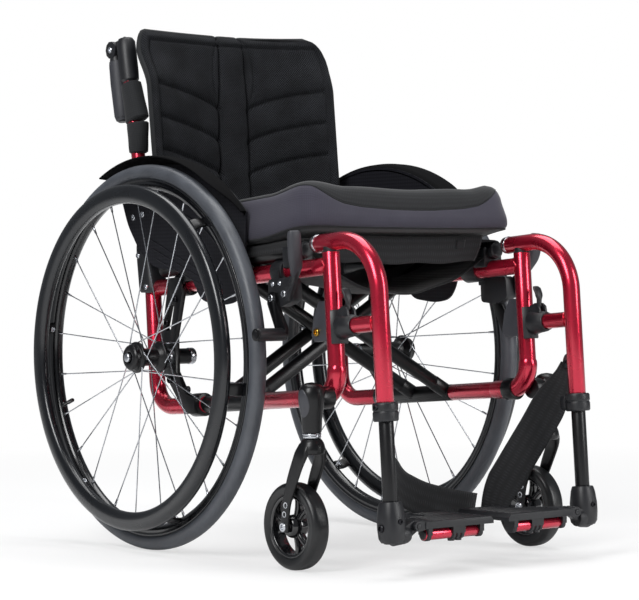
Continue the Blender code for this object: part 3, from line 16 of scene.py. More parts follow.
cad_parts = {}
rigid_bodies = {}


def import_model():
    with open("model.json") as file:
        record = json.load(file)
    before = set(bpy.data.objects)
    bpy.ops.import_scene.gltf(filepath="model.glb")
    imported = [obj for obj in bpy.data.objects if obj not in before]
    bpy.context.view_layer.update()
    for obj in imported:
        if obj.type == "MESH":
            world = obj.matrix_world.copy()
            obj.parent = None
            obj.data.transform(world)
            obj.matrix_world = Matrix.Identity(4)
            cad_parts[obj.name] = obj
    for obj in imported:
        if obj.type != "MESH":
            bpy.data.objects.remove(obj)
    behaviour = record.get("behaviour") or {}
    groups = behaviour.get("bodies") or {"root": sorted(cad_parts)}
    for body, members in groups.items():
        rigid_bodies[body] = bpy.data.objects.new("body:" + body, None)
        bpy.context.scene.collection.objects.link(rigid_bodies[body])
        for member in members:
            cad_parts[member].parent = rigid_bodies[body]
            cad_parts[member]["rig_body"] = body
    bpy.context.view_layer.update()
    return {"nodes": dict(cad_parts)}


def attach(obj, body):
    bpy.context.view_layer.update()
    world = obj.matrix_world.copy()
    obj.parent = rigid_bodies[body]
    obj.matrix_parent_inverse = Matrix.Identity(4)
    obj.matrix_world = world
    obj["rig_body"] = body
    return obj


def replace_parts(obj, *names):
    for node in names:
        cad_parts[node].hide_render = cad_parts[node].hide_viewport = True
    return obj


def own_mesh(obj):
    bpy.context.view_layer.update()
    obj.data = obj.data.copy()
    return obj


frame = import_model()

# Sizes: the main ones are those of the solids

TYRE_R, WHEEL_X, RIM_R = 0.295, 0.245, 0.2552
TYRE_MIDDLE_R, TYRE_HALF = 0.2825, 0.0124
AXLE_Y, AXLE_Z = 0.1175, TYRE_R
HANDRIM_X, HANDRIM_R, HANDRIM_HALF = 0.2835, 0.2492, (0.0144, 0.0094)
SPOKES, SPOKE_R, SPOKE_HUB_R, TABS = 24, 0.00095, 0.0223, 6
CASTOR_X, CASTOR_R, STEM_Y, CASTOR_TRAIL = 0.2276, 0.0625, -0.386, 0.038
TILT = math.radians(4.2)
FRAME_X, TUBE_R = 0.185, 0.0127
UPPER_W, LOWER_W, SEAT_W = 0.1093, -0.0770, 0.1370
FRONT_U, REAR_U = 0.388, -0.065
CATCH_SCREW_W, WELD_R = 0.016, 0.0012
SLEEVE_U = (0.066, 0.214)
SEAT_U = (-0.030, 0.333)
ARM_U, ARM_STAGGER = (0.098, 0.178), 0.024
HANGER_W, HANGER_U, HANGER_REAR_U, HANGER_BEND, HANGER_LOW_W = 0.1425, 0.4905, 0.352, 0.078, -0.112
STUB_W, STUB_R, LATCH_U = 0.0213, 0.0115, 0.4200
LEVER_PIVOT, SHOE_PIVOT, ROLLER = (-0.3155, 0.3920), (-0.2850, 0.3860), (-0.3085, 0.3340)
LEAN = math.radians(10.4)
CANE_Y, CANE_Z, CANE_R = 0.0775, 0.420, 0.0110
HANDLE_UP, HANDLE_BACK = 0.374, 0.031
FOOT_Y, FOOT_Z = -0.5085, 0.068
HINGE_Y, BAR_Z, PLATE_TOP = -0.515, 0.0575, 0.0766
GUARD_X, FENDER_R, FENDER_X = 0.2077, 0.3050, 0.2475
CUSHION_U, CUSHION_WIDTH, CUSHION_HEIGHT = (-0.034, 0.357), 0.400, 0.068
CUSHION_BASE, CUSHION_SEAM = SEAT_W + TUBE_R + 0.0056, 0.0640
BAND_TOP_W, BAND_DROP, BAND_HALF, BAND_TAPER = SEAT_W + 0.0235, 0.040, 0.160, 0.020
BACK_UP, BACK_HALF, BACK_REAR, BACK_THICK = (0.050, 0.3895), 0.184, 0.0155, 0.022
BACK_CORNER, BACK_HEM = 0.044, 0.0145
SIDES = {"right": -1, "left": 1}
LATERAL, BACKWARD, UP = np.eye(3)

# Calf straps: points of the centreline from the hanger inwards, then half widths at shares of its length
CALF_PATHS = {
    "right": [(0.1698, -0.4745, 0.2285), (0.1600, -0.4690, 0.2230), (0.1500, -0.4610, 0.1900),
              (0.1350, -0.4470, 0.1480), (0.1000, -0.4265, 0.1155), (0.0450, -0.4095, 0.0940),
              (-0.0100, -0.4085, 0.0800), (-0.0600, -0.4085, 0.0710)],
    "left": [(0.1960, -0.4630, 0.2860), (0.1900, -0.4600, 0.2620), (0.1640, -0.4450, 0.2060),
             (0.1180, -0.4210, 0.1230), (0.1040, -0.4120, 0.0960), (0.0960, -0.4060, 0.0640)]}
CALF_HALVES = {
    "right": ([0, 0.08, 0.22, 0.38, 1.0], [0.0095, 0.0130, 0.0190, 0.0250, 0.0250]),
    "left": ([0, 0.06, 0.20, 0.30, 0.80, 1.0], [0.0090, 0.0130, 0.0250, 0.0270, 0.0270, 0.0180])}


def at(x, u, w):
    """Point or points on a side frame: u is forward along the rails from the axle, w is across them."""
    x, u, w = np.broadcast_arrays(np.asarray(x, float), u, w)
    return np.stack([x, AXLE_Y - u * math.cos(TILT) + w * math.sin(TILT),
                     AXLE_Z + u * math.sin(TILT) + w * math.cos(TILT)], -1)


def world(x, y, z):
    """Point or points with y measured from the rear axle."""
    x, y, z = np.broadcast_arrays(np.asarray(x, float), y, z)
    return np.stack([x, y + AXLE_Y, z], -1)


def on_cane(x, along, front):
    """Point or points along the leaning back cane, with front measured at a right angle to it."""
    x, along, front = np.broadcast_arrays(np.asarray(x, float), along, front)
    return np.stack([x, AXLE_Y + CANE_Y + along * math.sin(LEAN) - front * math.cos(LEAN),
                     CANE_Z + along * math.cos(LEAN) + front * math.sin(LEAN)], -1)


ALONG = at(0, 1, 0) - at(0, 0, 0)
ACROSS = at(0, 0, 1) - at(0, 0, 0)
CANE_UP = on_cane(0, 1, 0) - on_cane(0, 0, 0)
CANE_FRONT = on_cane(0, 0, 1) - on_cane(0, 0, 0)


# Camera, from the vanishing lines of the photograph

CAMERA_PLACE, CAMERA_ANGLES = (-2.226, -2.8295, 0.412), (-38.17, 0.5, -0.31)
FOCAL_PIXELS, PICTURE_PIXELS, SENSOR_MM = 2310.7, 639, 36.0


def camera():
    """Camera in front of the chair's right side, turned by its azimuth, elevation and roll in degrees.

    It looks against back, and roll turns its right and up axes about that line.
    """
    azimuth, elevation, roll = (math.radians(a) for a in CAMERA_ANGLES)
    back = Vector((math.sin(azimuth) * math.cos(elevation), -math.cos(azimuth) * math.cos(elevation),
                   math.sin(elevation)))
    right = (-back).cross(Vector((0, 0, 1))).normalized()
    up = right.cross(-back)
    turned = right * math.cos(roll) + up * math.sin(roll)
    top = up * math.cos(roll) - right * math.sin(roll)
    data = bpy.data.cameras.new("camera")
    data.sensor_width, data.lens = SENSOR_MM, FOCAL_PIXELS / PICTURE_PIXELS * SENSOR_MM
    data.clip_start, data.clip_end = 0.1, 60
    holder = bpy.data.objects.new("camera", data)
    holder.matrix_world = Matrix((*((turned[k], top[k], back[k], CAMERA_PLACE[k]) for k in range(3)),
                                  (0, 0, 0, 1)))
    bpy.context.scene.collection.objects.link(holder)
    bpy.context.scene.camera = holder


# Finishes

FACTOR, FIRST, SECOND = 0, 6, 7  # sockets of a colour Mix node, by number because its names repeat


def colour(code):
    """Linear RGBA of an sRGB hex code."""
    channels = [int(code[i:i + 2], 16) / 255 for i in (1, 3, 5)]
    return [c / 12.92 if c <= 0.04045 else ((c + 0.055) / 1.055) ** 2.4 for c in channels] + [1.0]


def node(tree, kind, sockets=None, **settings):
    """Adds a node with its settings, and fills its sockets with values or (node, output) links."""
    made = tree.nodes.new(kind)
    for key, value in settings.items():
        setattr(made, key, value)
    for key, value in (sockets or {}).items():
        if isinstance(value, tuple) and isinstance(value[0], bpy.types.Node):
            tree.links.new(value[0].outputs[value[1]], made.inputs[key])
        else:
            made.inputs[key].default_value = value
    return made


def new_finish(name, **sockets):
    """Empty material with one Principled shader, and the constants that are the same all over it."""
    made = bpy.data.materials.new(name)
    made.use_nodes = True
    tree = made.node_tree
    tree.nodes.clear()
    shader = node(tree, "ShaderNodeBsdfPrincipled", sockets)
    node(tree, "ShaderNodeOutputMaterial", {"Surface": (shader, "BSDF")})
    return made, tree, shader


def surface_finish(name, dark, light, roughness, spread=0.08, patch=30.0, grain=0.8, depth=0.02, **sockets):
    """Smooth finish: slow colour clouds, some spread of gloss and a fine grain. patch and grain are in mm.

    A grain under 0.4 mm wouldn't show, so it is drawn that coarse or coarser.
    """
    made, tree, shader = new_finish(name, **sockets)
    place = node(tree, "ShaderNodeTexCoord")
    cloud = node(tree, "ShaderNodeTexNoise", {"Vector": (place, "Object"), "Scale": 1000 / patch,
                                              "Detail": 3.0})
    shade = node(tree, "ShaderNodeMix", {FACTOR: (cloud, 0), FIRST: colour(dark), SECOND: colour(light)},
                 data_type="RGBA")
    tree.links.new(shade.outputs[2], shader.inputs["Base Color"])
    gloss = node(tree, "ShaderNodeMapRange", {"Value": (cloud, 0), "From Min": 0.3, "From Max": 0.7,
                                              "To Min": roughness - spread / 2,
                                              "To Max": roughness + spread / 2})
    tree.links.new(gloss.outputs[0], shader.inputs["Roughness"])
    fine = node(tree, "ShaderNodeTexNoise", {"Vector": (place, "Object"), "Scale": 1000 / grain,
                                             "Detail": 1.0})
    bump = node(tree, "ShaderNodeBump", {"Height": (fine, 0), "Strength": depth, "Distance": 0.0004})
    tree.links.new(bump.outputs[0], shader.inputs["Normal"])
    return made


def mesh_cloth(name, dark, light, pitch, depth, sheen):
    """Spacer mesh: staggered rows of round holes in a knitted face, by the piece's own UV map in metres.

    pitch is the spacing of the holes in mm.
    """
    made, tree, shader = new_finish(name, Roughness=0.92, **{"Sheen Weight": sheen, "Sheen Roughness": 0.45,
                                                             "Specular IOR Level": 0.22})
    place = node(tree, "ShaderNodeTexCoord")
    turned = node(tree, "ShaderNodeMapping", {"Vector": (place, "UV"), "Rotation": (0, 0, math.radians(45)),
                                              "Scale": (1000 / pitch, 1000 / pitch, 1)})
    holes = node(tree, "ShaderNodeTexVoronoi", {"Vector": (turned, 0), "Scale": 1.0, "Randomness": 0.12},
                 voronoi_dimensions="2D")
    rim = node(tree, "ShaderNodeMapRange", {"Value": (holes, 0), "From Min": 0.24, "From Max": 0.48},
               interpolation_type="SMOOTHSTEP")
    cloud = node(tree, "ShaderNodeTexNoise", {"Vector": (place, "Object"), "Scale": 22.0, "Detail": 4.0})
    mixed = node(tree, "ShaderNodeMath", {0: (rim, 0), 1: (cloud, 0)}, operation="MULTIPLY")
    shade = node(tree, "ShaderNodeMix", {FACTOR: (mixed, 0), FIRST: colour(dark), SECOND: colour(light)},
                 data_type="RGBA")
    tree.links.new(shade.outputs[2], shader.inputs["Base Color"])
    bump = node(tree, "ShaderNodeBump", {"Height": (rim, 0), "Strength": depth, "Distance": 0.0012})
    tree.links.new(bump.outputs[0], shader.inputs["Normal"])
    return made


def woven_cloth(name, dark, light, thread, depth, sheen, slub=0.5, ribs=0.0):
    """Plain weave: two crossing waves multiplied, mixed with soft clouds. ribs slows the one along v.

    thread is the spacing in mm, drawn coarser than real threads so that the weave shows.
    """
    made, tree, shader = new_finish(name, Roughness=0.90, **{"Sheen Weight": sheen, "Sheen Roughness": 0.4})
    place = node(tree, "ShaderNodeTexCoord")
    scale = 1000 / thread / 2 / 3.1416  # a wave of scale 1 is 0.314 m long: this one is about two threads
    warp, weft = (node(tree, "ShaderNodeTexWave", {"Vector": (place, "UV"), "Scale": size, "Distortion": 0.6,
                                                   "Detail": 1.0, "Detail Scale": 3.0}, bands_direction=way)
                  for size, way in ((scale, "X"), (scale * (1.0 - ribs * 0.6), "Y")))
    weave = node(tree, "ShaderNodeMath", {0: (warp, 1), 1: (weft, 1)}, operation="MULTIPLY")
    cloud = node(tree, "ShaderNodeTexNoise", {"Vector": (place, "Object"), "Scale": 35.0, "Detail": 6.0,
                                              "Roughness": 0.7})
    mixed = node(tree, "ShaderNodeMix", {0: slub, 2: (weave, 0), 3: (cloud, 0)})
    shade = node(tree, "ShaderNodeMix", {FACTOR: (mixed, 0), FIRST: colour(dark), SECOND: colour(light)},
                 data_type="RGBA")
    tree.links.new(shade.outputs[2], shader.inputs["Base Color"])
    bump = node(tree, "ShaderNodeBump", {"Height": (weave, 0), "Strength": depth, "Distance": 0.0006})
    tree.links.new(bump.outputs[0], shader.inputs["Normal"])
    return made


def tyre_rubber(name):
    """Vulcanised rubber: slanting sipes, a triangle wave over the tyre's own UV map, on grit and clouds.

    The sipes are 12 mm apart. The grit is drawn 1.4 mm coarse so that it shows, and the clouds are 38 mm.
    """
    made, tree, shader = new_finish(name, **{"Specular IOR Level": 0.62})
    place = node(tree, "ShaderNodeTexCoord")
    cloud = node(tree, "ShaderNodeTexNoise", {"Vector": (place, "Object"), "Scale": 26.0, "Detail": 6.0,
                                              "Roughness": 0.65})
    shade = node(tree, "ShaderNodeMix", {FACTOR: (cloud, 0), FIRST: colour("#303237"),
                                         SECOND: colour("#565a61")}, data_type="RGBA")
    tree.links.new(shade.outputs[2], shader.inputs["Base Color"])
    slant = node(tree, "ShaderNodeMapping", {"Vector": (place, "UV"), "Rotation": (0, 0, math.radians(24))})
    sipes = node(tree, "ShaderNodeTexWave", {"Vector": (slant, 0), "Scale": 26.0, "Distortion": 0.4},
                 bands_direction="X", wave_profile="TRI")
    cut = node(tree, "ShaderNodeMapRange", {"Value": (sipes, 1), "From Max": 0.22})
    grit = node(tree, "ShaderNodeTexNoise", {"Vector": (place, "Object"), "Scale": 700.0, "Detail": 2.0})
    height = node(tree, "ShaderNodeMath", {0: (cut, 0), 1: (grit, 0)}, operation="ADD")
    bump = node(tree, "ShaderNodeBump", {"Height": (height, 0), "Strength": 0.22, "Distance": 0.0007})
    tree.links.new(bump.outputs[0], shader.inputs["Normal"])
    gloss = node(tree, "ShaderNodeMapRange", {"Value": (cloud, 0), "From Min": 0.3, "From Max": 0.7,
                                              "To Min": 0.37, "To Max": 0.52})
    tree.links.new(gloss.outputs[0], shader.inputs["Roughness"])
    return made


def carbon_twill(name):
    """Moulded laminate under clear lacquer: 4 mm twill squares that step over one another."""
    made, tree, shader = new_finish(name, **{"Coat Weight": 0.06, "Coat Roughness": 0.10, "Roughness": 0.50,
                                             "Specular IOR Level": 0.12})
    place = node(tree, "ShaderNodeTexCoord")
    turned = node(tree, "ShaderNodeMapping", {"Vector": (place, "Object"),
                                              "Rotation": (math.radians(45), 0, 0)})
    squares = node(tree, "ShaderNodeTexChecker", {"Vector": (turned, 0), "Scale": 250.0})
    threads = node(tree, "ShaderNodeTexWave", {"Vector": (place, "Object"), "Scale": 160.0,
                                               "Distortion": 0.3}, bands_direction="DIAGONAL")
    mixed = node(tree, "ShaderNodeMix", {0: 0.45, 2: (squares, 1), 3: (threads, 1)})
    shade = node(tree, "ShaderNodeMix", {FACTOR: (mixed, 0), FIRST: colour("#151519"),
                                         SECOND: colour("#242429")}, data_type="RGBA")
    tree.links.new(shade.outputs[2], shader.inputs["Base Color"])
    bump = node(tree, "ShaderNodeBump", {"Height": (mixed, 0), "Strength": 0.10, "Distance": 0.0003})
    tree.links.new(bump.outputs[0], shader.inputs["Normal"])
    return made


# Candy lacquer over polished aluminium: flakes give a broad satin glow, and the clear coat a thin glint.
candy_red = surface_finish("candy_red_lacquer", "#b41630", "#cf2242", 0.27, 0.06, 60, 0.5, 0.03,
                           Metallic=0.82, **{"Coat Weight": 0.70, "Coat Roughness": 0.13})
# Hard-anodised and powder-coated aluminium: near black, with a soft grey sheen along its tubes.
black_tube = surface_finish("black_powder_coat", "#060608", "#0b0b0e", 0.36, 0.08, 40, 0.6, 0.05,
                            Metallic=0.15, **{"Coat Weight": 0.12, "Coat Roughness": 0.25,
                                              "Specular IOR Level": 0.4})
# Glass-filled nylon mouldings: dark grey, satin, with a spark-eroded grain.
moulded_nylon = surface_finish("moulded_nylon", "#121316", "#1b1c20", 0.44, 0.10, 18, 0.9, 0.16)
# Soft moulded grip rubber: greyer and duller than the nylon.
grip_rubber = surface_finish("grip_rubber", "#2a2b30", "#35363c", 0.55, 0.08, 14, 0.8, 0.15)
# Moulded gloss ABS: near black, with small sharp highlights on castor cores and valves.
gloss_abs = surface_finish("gloss_abs", "#0c0c0e", "#131316", 0.16, 0.05, 40, 1.0, 0.02,
                           **{"Coat Weight": 0.6, "Coat Roughness": 0.05})
# Extruded aluminium with a black anodised skin: a long satin highlight round the push ring.
ring_anodised = surface_finish("anodised_push_ring", "#0c0e12", "#14171c", 0.28, 0.06, 80, 0.7, 0.03,
                               Metallic=0.35, **{"Coat Weight": 0.55, "Coat Roughness": 0.16})
# Gloss black paint on the deep rim: darker than the tyre, with a narrow highlight round it.
rim_black = surface_finish("gloss_black_rim", "#0b0c0f", "#121317", 0.22, 0.06, 60, 0.7, 0.02,
                           Metallic=0.2, **{"Coat Weight": 0.5, "Coat Roughness": 0.08})
# Cast urethane: an even black with a waxy shine.
urethane = surface_finish("black_urethane", "#0e0f11", "#161719", 0.36, 0.10, 12, 1.2, 0.06)
# Drawn and turned stainless steel: bright lines for the spokes, and small bright screw heads.
stainless = surface_finish("stainless_steel", "#b9bcc2", "#d2d4d8", 0.24, 0.10, 5, 0.4, 0.04, Metallic=1.0)
# Black-oxide steel: dark screw heads that still catch the light at their edges.
dark_screw = surface_finish("black_oxide_screw", "#1c1c1f", "#2b2b2f", 0.30, 0.08, 5, 0.4, 0.05, Metallic=0.8)
# Turned brass: one small yellow spot on each frame.
brass = surface_finish("brass", "#b08a34", "#d2ab52", 0.26, 0.10, 4, 0.4, 0.05, Metallic=1.0)
# Moulded caps and catches: a dark grey that stands out from the black round it.
warm_grey = surface_finish("grey_cap_moulding", "#303136", "#3a3b41", 0.40, 0.08, 12, 0.8, 0.08)
# Matt moulding of the fenders: deep black, almost without highlights.
matte_guard = surface_finish("matte_moulded_guard", "#060607", "#0c0c0e", 0.90, 0.04, 30, 0.6, 0.05,
                             **{"Specular IOR Level": 0.08})
# Lacquered laminate and tyre rubber: a dark chequered satin, and a dull dark grey with fine cuts.
carbon = carbon_twill("lacquered_carbon_twill")
rubber = tyre_rubber("tyre_rubber")
# Knitted spacer mesh: black dots in a grey face, which blend to a matt dark grey from afar.
back_mesh = mesh_cloth("spacer_mesh", "#020203", "#3a3c41", 3.0, 1.0, 0.0)
# Knitted binding: matt black edges and sleeves.
edge_knit = woven_cloth("edge_binding_knit", "#121315", "#222427", 1.8, 0.3, 0.08)
# Border knit: dark grey with a little purple and a faint bloom, lighter than the top.
border_knit = woven_cloth("cushion_border_knit", "#2c2a35", "#403e4b", 1.2, 0.12, 0.25)
# Stretch cloth: matt black, with a faint bloom where it turns away.
top_knit = woven_cloth("cushion_top_stretch_cloth", "#121315", "#222427", 1.4, 0.25, 0.2)
# Bias tape round the welts: a thin, darker line.
piping = woven_cloth("piping", "#101113", "#1b1c1f", 1.4, 0.2, 0.1)
# Woven nylon webbing: black, with bands of thread across it.
nylon_band = woven_cloth("nylon_webbing", "#0d0d0f", "#232427", 2.2, 0.5, 0.12, 0.35, 1.0)


# Surfaces on grids of points

def lengths(points):
    """Running length along the first axis of a grid, averaged over the other."""
    steps = np.linalg.norm(np.diff(points, axis=0), axis=-1).mean(-1)
    return np.concatenate([[0.0], np.cumsum(steps)])


def smooth_step(value):
    """0 to 1 along the cubic 3 v^2 - 2 v^3, flat at both ends."""
    v = np.clip(value, 0, 1)
    return v * v * (3 - 2 * v)


def unit(vectors):
    """Each vector divided by its length."""
    return vectors / np.linalg.norm(vectors, axis=-1, keepdims=True)


def turns(count, shift=0.0):
    """Angles evenly once round a circle, in radians: shift moves them all by a share of one step."""
    return 2 * np.pi * (np.arange(count) + shift) / count


def superellipse(angle, power):
    """Where the ray at each angle meets the superellipse |c|^p + |s|^p = 1."""
    c, s = np.cos(angle), np.sin(angle)
    size = (np.abs(c) ** power + np.abs(s) ** power) ** (-1 / power)
    return c * size, s * size


def surface(name, points, finish, body, ring=False, loop=False, closed_ends=False, sharp=38.0, replaces=(),
            masks=None):
    """Mesh over a grid P[i, j]: ring joins it round j, loop round i, and closed_ends puts fans on both ends.

    UV is the running length along i and j in metres. masks gives each quad's finish number. Where the volume
    under the faces comes out negative, they are turned round.
    """
    grid = np.asarray(points, float)
    rows, columns = grid.shape[:2]
    wide = np.concatenate([grid, grid[:, :1]], 1) if ring else grid
    tall = np.concatenate([wide, wide[:1]], 0) if loop else wide
    along, around = lengths(tall), lengths(np.swapaxes(tall, 0, 1))
    i, j = (a.ravel() for a in np.meshgrid(np.arange(tall.shape[0] - 1), np.arange(tall.shape[1] - 1),
                                           indexing="ij"))
    corners = [(i, j), (i, j + 1), (i + 1, j + 1), (i + 1, j)]
    quads = np.stack([(a % rows) * columns + b % columns for a, b in corners], -1)
    uv = np.stack([np.stack([along[a], around[b]], -1) for a, b in corners], 1).reshape(-1, 2)
    verts, faces = grid.reshape(-1, 3), quads
    if loop or closed_ends:
        a, b, c, d = (verts[quads[:, k]] for k in range(4))
        volume = np.einsum("ij,ij->", a - verts.mean(0), np.cross(b - a, c - a) + np.cross(c - a, d - a))
        if volume < 0:
            faces = quads[:, ::-1]
            uv = uv.reshape(-1, 4, 2)[:, ::-1].reshape(-1, 2)
    sizes = np.full(len(faces), 4)
    flat = faces.ravel()
    numbers = np.zeros(len(faces), int) if masks is None else np.asarray(masks).ravel()
    if closed_ends:
        first = np.arange(columns)
        rings = [(first, grid[0].mean(0)), ((rows - 1) * columns + first, grid[-1].mean(0))]
        flipped = faces is not quads
        for k, (edge, middle) in enumerate(rings):
            centre = len(verts)
            verts = np.vstack([verts, middle])
            after = np.roll(edge, -1)
            forward = (k == 0) == flipped
            fan = np.stack([edge, after, np.full(columns, centre)] if forward
                           else [after, edge, np.full(columns, centre)], -1)
            flat = np.concatenate([flat, fan.ravel()])
            sizes = np.concatenate([sizes, np.full(columns, 3)])
            numbers = np.concatenate([numbers, np.full(columns, numbers[0 if k == 0 else len(faces) - 1])])
            uv = np.vstack([uv, verts[fan.ravel()][:, :2]])
    mesh = bpy.data.meshes.new(name)
    mesh.vertices.add(len(verts))
    mesh.vertices.foreach_set("co", verts.ravel())
    mesh.loops.add(len(flat))
    mesh.loops.foreach_set("vertex_index", flat.astype(np.int32))
    mesh.polygons.add(len(sizes))
    mesh.polygons.foreach_set("loop_start", (np.cumsum(sizes) - sizes).astype(np.int32))
    mesh.polygons.foreach_set("loop_total", sizes.astype(np.int32))
    mesh.update(calc_edges=True)
    mesh.uv_layers.new(name="UVMap").data.foreach_set("uv", uv.astype(np.float32).ravel())
    mesh.polygons.foreach_set("material_index", numbers.astype(np.int32))
    return finished(name, mesh, finish, body, sharp, replaces)


def finished(name, mesh, finish, body, sharp=38.0, replaces=()):
    """Gives a mesh its finishes, its creases past the sharp angle, and the body that carries it."""
    mesh.validate()
    finishes = finish if isinstance(finish, (list, tuple)) else [finish]
    for one in finishes:
        mesh.materials.append(one)
    mesh.shade_smooth()
    mesh.set_sharp_from_angle(angle=math.radians(sharp))
    made = bpy.data.objects.new(name, mesh)
    bpy.context.scene.collection.objects.link(made)
    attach(made, body)
    if replaces:
        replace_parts(made, *replaces)
    return made


def joined(name, *pieces):
    """One piece out of several with the same finish and body: their meshes are laid end to end."""
    bm = bmesh.new()
    for one in pieces:
        bm.from_mesh(one.data)
    mesh = bpy.data.meshes.new(name)
    bm.to_mesh(mesh)
    bm.free()
    body, materials = pieces[0]["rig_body"], list(pieces[0].data.materials)
    for one in pieces:
        bpy.data.objects.remove(one)
    made = bpy.data.objects.new(name, mesh)
    for one in materials:
        mesh.materials.append(one)
    bpy.context.scene.collection.objects.link(made)
    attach(made, body)
    return made


def filleted(corners, radius, steps=6, closed=False):
    """Line of points with each corner turned into an arc, a quadratic blend from side to side."""
    p = np.asarray(corners, float)
    count = len(p)
    reach = np.broadcast_to(np.asarray(radius, float), (count,))
    t = np.linspace(0, 1, steps + 1)[:, None]
    out = []
    for k in range(count):
        if not closed and k in (0, count - 1):
            out.append(p[k:k + 1])
            continue
        before, here, after = p[k - 1], p[k], p[(k + 1) % count]
        a, b = before - here, after - here
        la, lb = np.linalg.norm(a), np.linalg.norm(b)
        back = a / la * min(reach[k], la * 0.49)  # two arcs on one side don't meet
        on = b / lb * min(reach[k], lb * 0.49)
        out.append((1 - t) ** 2 * (here + back) + 2 * t * (1 - t) * here + t ** 2 * (here + on))
    return np.vstack(out)


def bent(corners, radius, steps=10):
    """Tube's centreline: straight runs joined by true circular arcs of the bend's radius."""
    p = np.asarray(corners, float)
    out = [p[:1]]
    for before, here, after in zip(p, p[1:], p[2:]):
        a, b = unit(before - here), unit(after - here)
        half = math.acos(np.clip(a @ b, -1, 1)) / 2
        reach = radius / math.tan(half)
        centre = here + unit(a + b) * (radius / math.sin(half))
        start, end = here + a * reach - centre, here + b * reach - centre
        swing = math.acos(np.clip(start @ end / radius ** 2, -1, 1))
        t = np.linspace(0, 1, steps + 1)[:, None]
        out.append(centre + (np.sin((1 - t) * swing) * start + np.sin(t * swing) * end) / math.sin(swing))
    out.append(p[-1:])
    return np.vstack(out)


def pipe(name, path, radius, finish, body, deep=None, normal=LATERAL, sides=32, power=2.0, ends=0.0015,
         replaces=()):
    """Tube along a path: |c|^p + |s|^p = 1, times radius and deep, in each station's cross plane.

    ends rounds both ends off, by two shrunken stations.
    """
    p = np.asarray(path, float)
    a, b = (np.broadcast_to(np.asarray(r, float), (len(p),))
            for r in (radius, radius if deep is None else deep))
    if ends:
        less = ends * np.array((1.0, 0.3, 0.0))
        away = ends * np.array((0.0, 0.3, 1.0))[:, None]
        first, last = unit(p[1] - p[0]), unit(p[-1] - p[-2])
        p = np.vstack([p[0] + first * away, p[1:-1], p[-1] - last * away[::-1]])
        a, b = (np.concatenate([r[0] - less, r[1:-1], r[-1] - less[::-1]]) for r in (a, b))
    steps = unit(np.diff(p, axis=0))
    tangent = unit(np.vstack([steps[:1], steps[:-1] + steps[1:], steps[-1:]]))
    across = unit(normal - tangent * (tangent @ normal)[:, None])
    other = np.cross(tangent, across)
    c, s = superellipse(turns(sides), power)
    grid = (p[:, None] + across[:, None] * (a[:, None] * c)[..., None]
            + other[:, None] * (b[:, None] * s)[..., None])
    return surface(name, grid, finish, body, ring=True, closed_ends=True, replaces=replaces)


def turned(name, profile, centre, axis, finish, body, sides=48, closed=False, sharp=38.0, replaces=()):
    """Lathe: each (radius, height) of the profile is carried round the axis. An open profile is capped."""
    profile = np.asarray(profile, float)
    axis = unit(np.asarray(axis, float))
    first = unit(np.cross(axis, UP if abs(axis[2]) < 0.9 else LATERAL))
    second = np.cross(axis, first)
    angle = turns(sides)
    out = np.cos(angle)[:, None] * first + np.sin(angle)[:, None] * second
    grid = np.asarray(centre, float) + profile[:, None, 1:2] * axis + profile[:, None, :1] * out[None]
    return surface(name, grid, finish, body, ring=True, loop=closed, closed_ends=not closed, sharp=sharp,
                   replaces=replaces)


def screw(name, centre, axis, radius, height, finish, body, socket=0.55):
    """Cap screw: a turned profile that rises to a rounded head and falls into its socket."""
    s = radius * socket
    profile = [(radius * 0.02, -0.0005), (radius, -0.0005), (radius, height * 0.75), (radius * 0.85, height),
               (s * 1.05, height), (s, height * 0.9), (s * 0.95, height * 0.35), (s * 0.1, height * 0.3)]
    return turned(name, profile, centre, axis, finish, body, sides=20, sharp=30)


def softened(name, source, finish, body, width, segments):
    """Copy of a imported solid: doubles merged, flat faces joined and edges rounded by a live bevel."""
    mesh = frame["nodes"][source].data.copy()
    mesh.materials.clear()
    bm = bmesh.new()
    bm.from_mesh(mesh)
    bmesh.ops.remove_doubles(bm, verts=bm.verts, dist=0.00002)
    bmesh.ops.dissolve_limit(bm, angle_limit=math.radians(1.0), verts=bm.verts, edges=bm.edges)
    bm.to_mesh(mesh)
    bm.free()
    made = finished(name, mesh, finish, body, 180.0, (source,))
    bevel = made.modifiers.new("rounded_edges", "BEVEL")
    bevel.width, bevel.segments, bevel.limit_method = width, segments, "ANGLE"
    bevel.angle_limit, bevel.use_clamp_overlap, bevel.harden_normals = math.radians(40), True, True
    return made


# Rear wheels

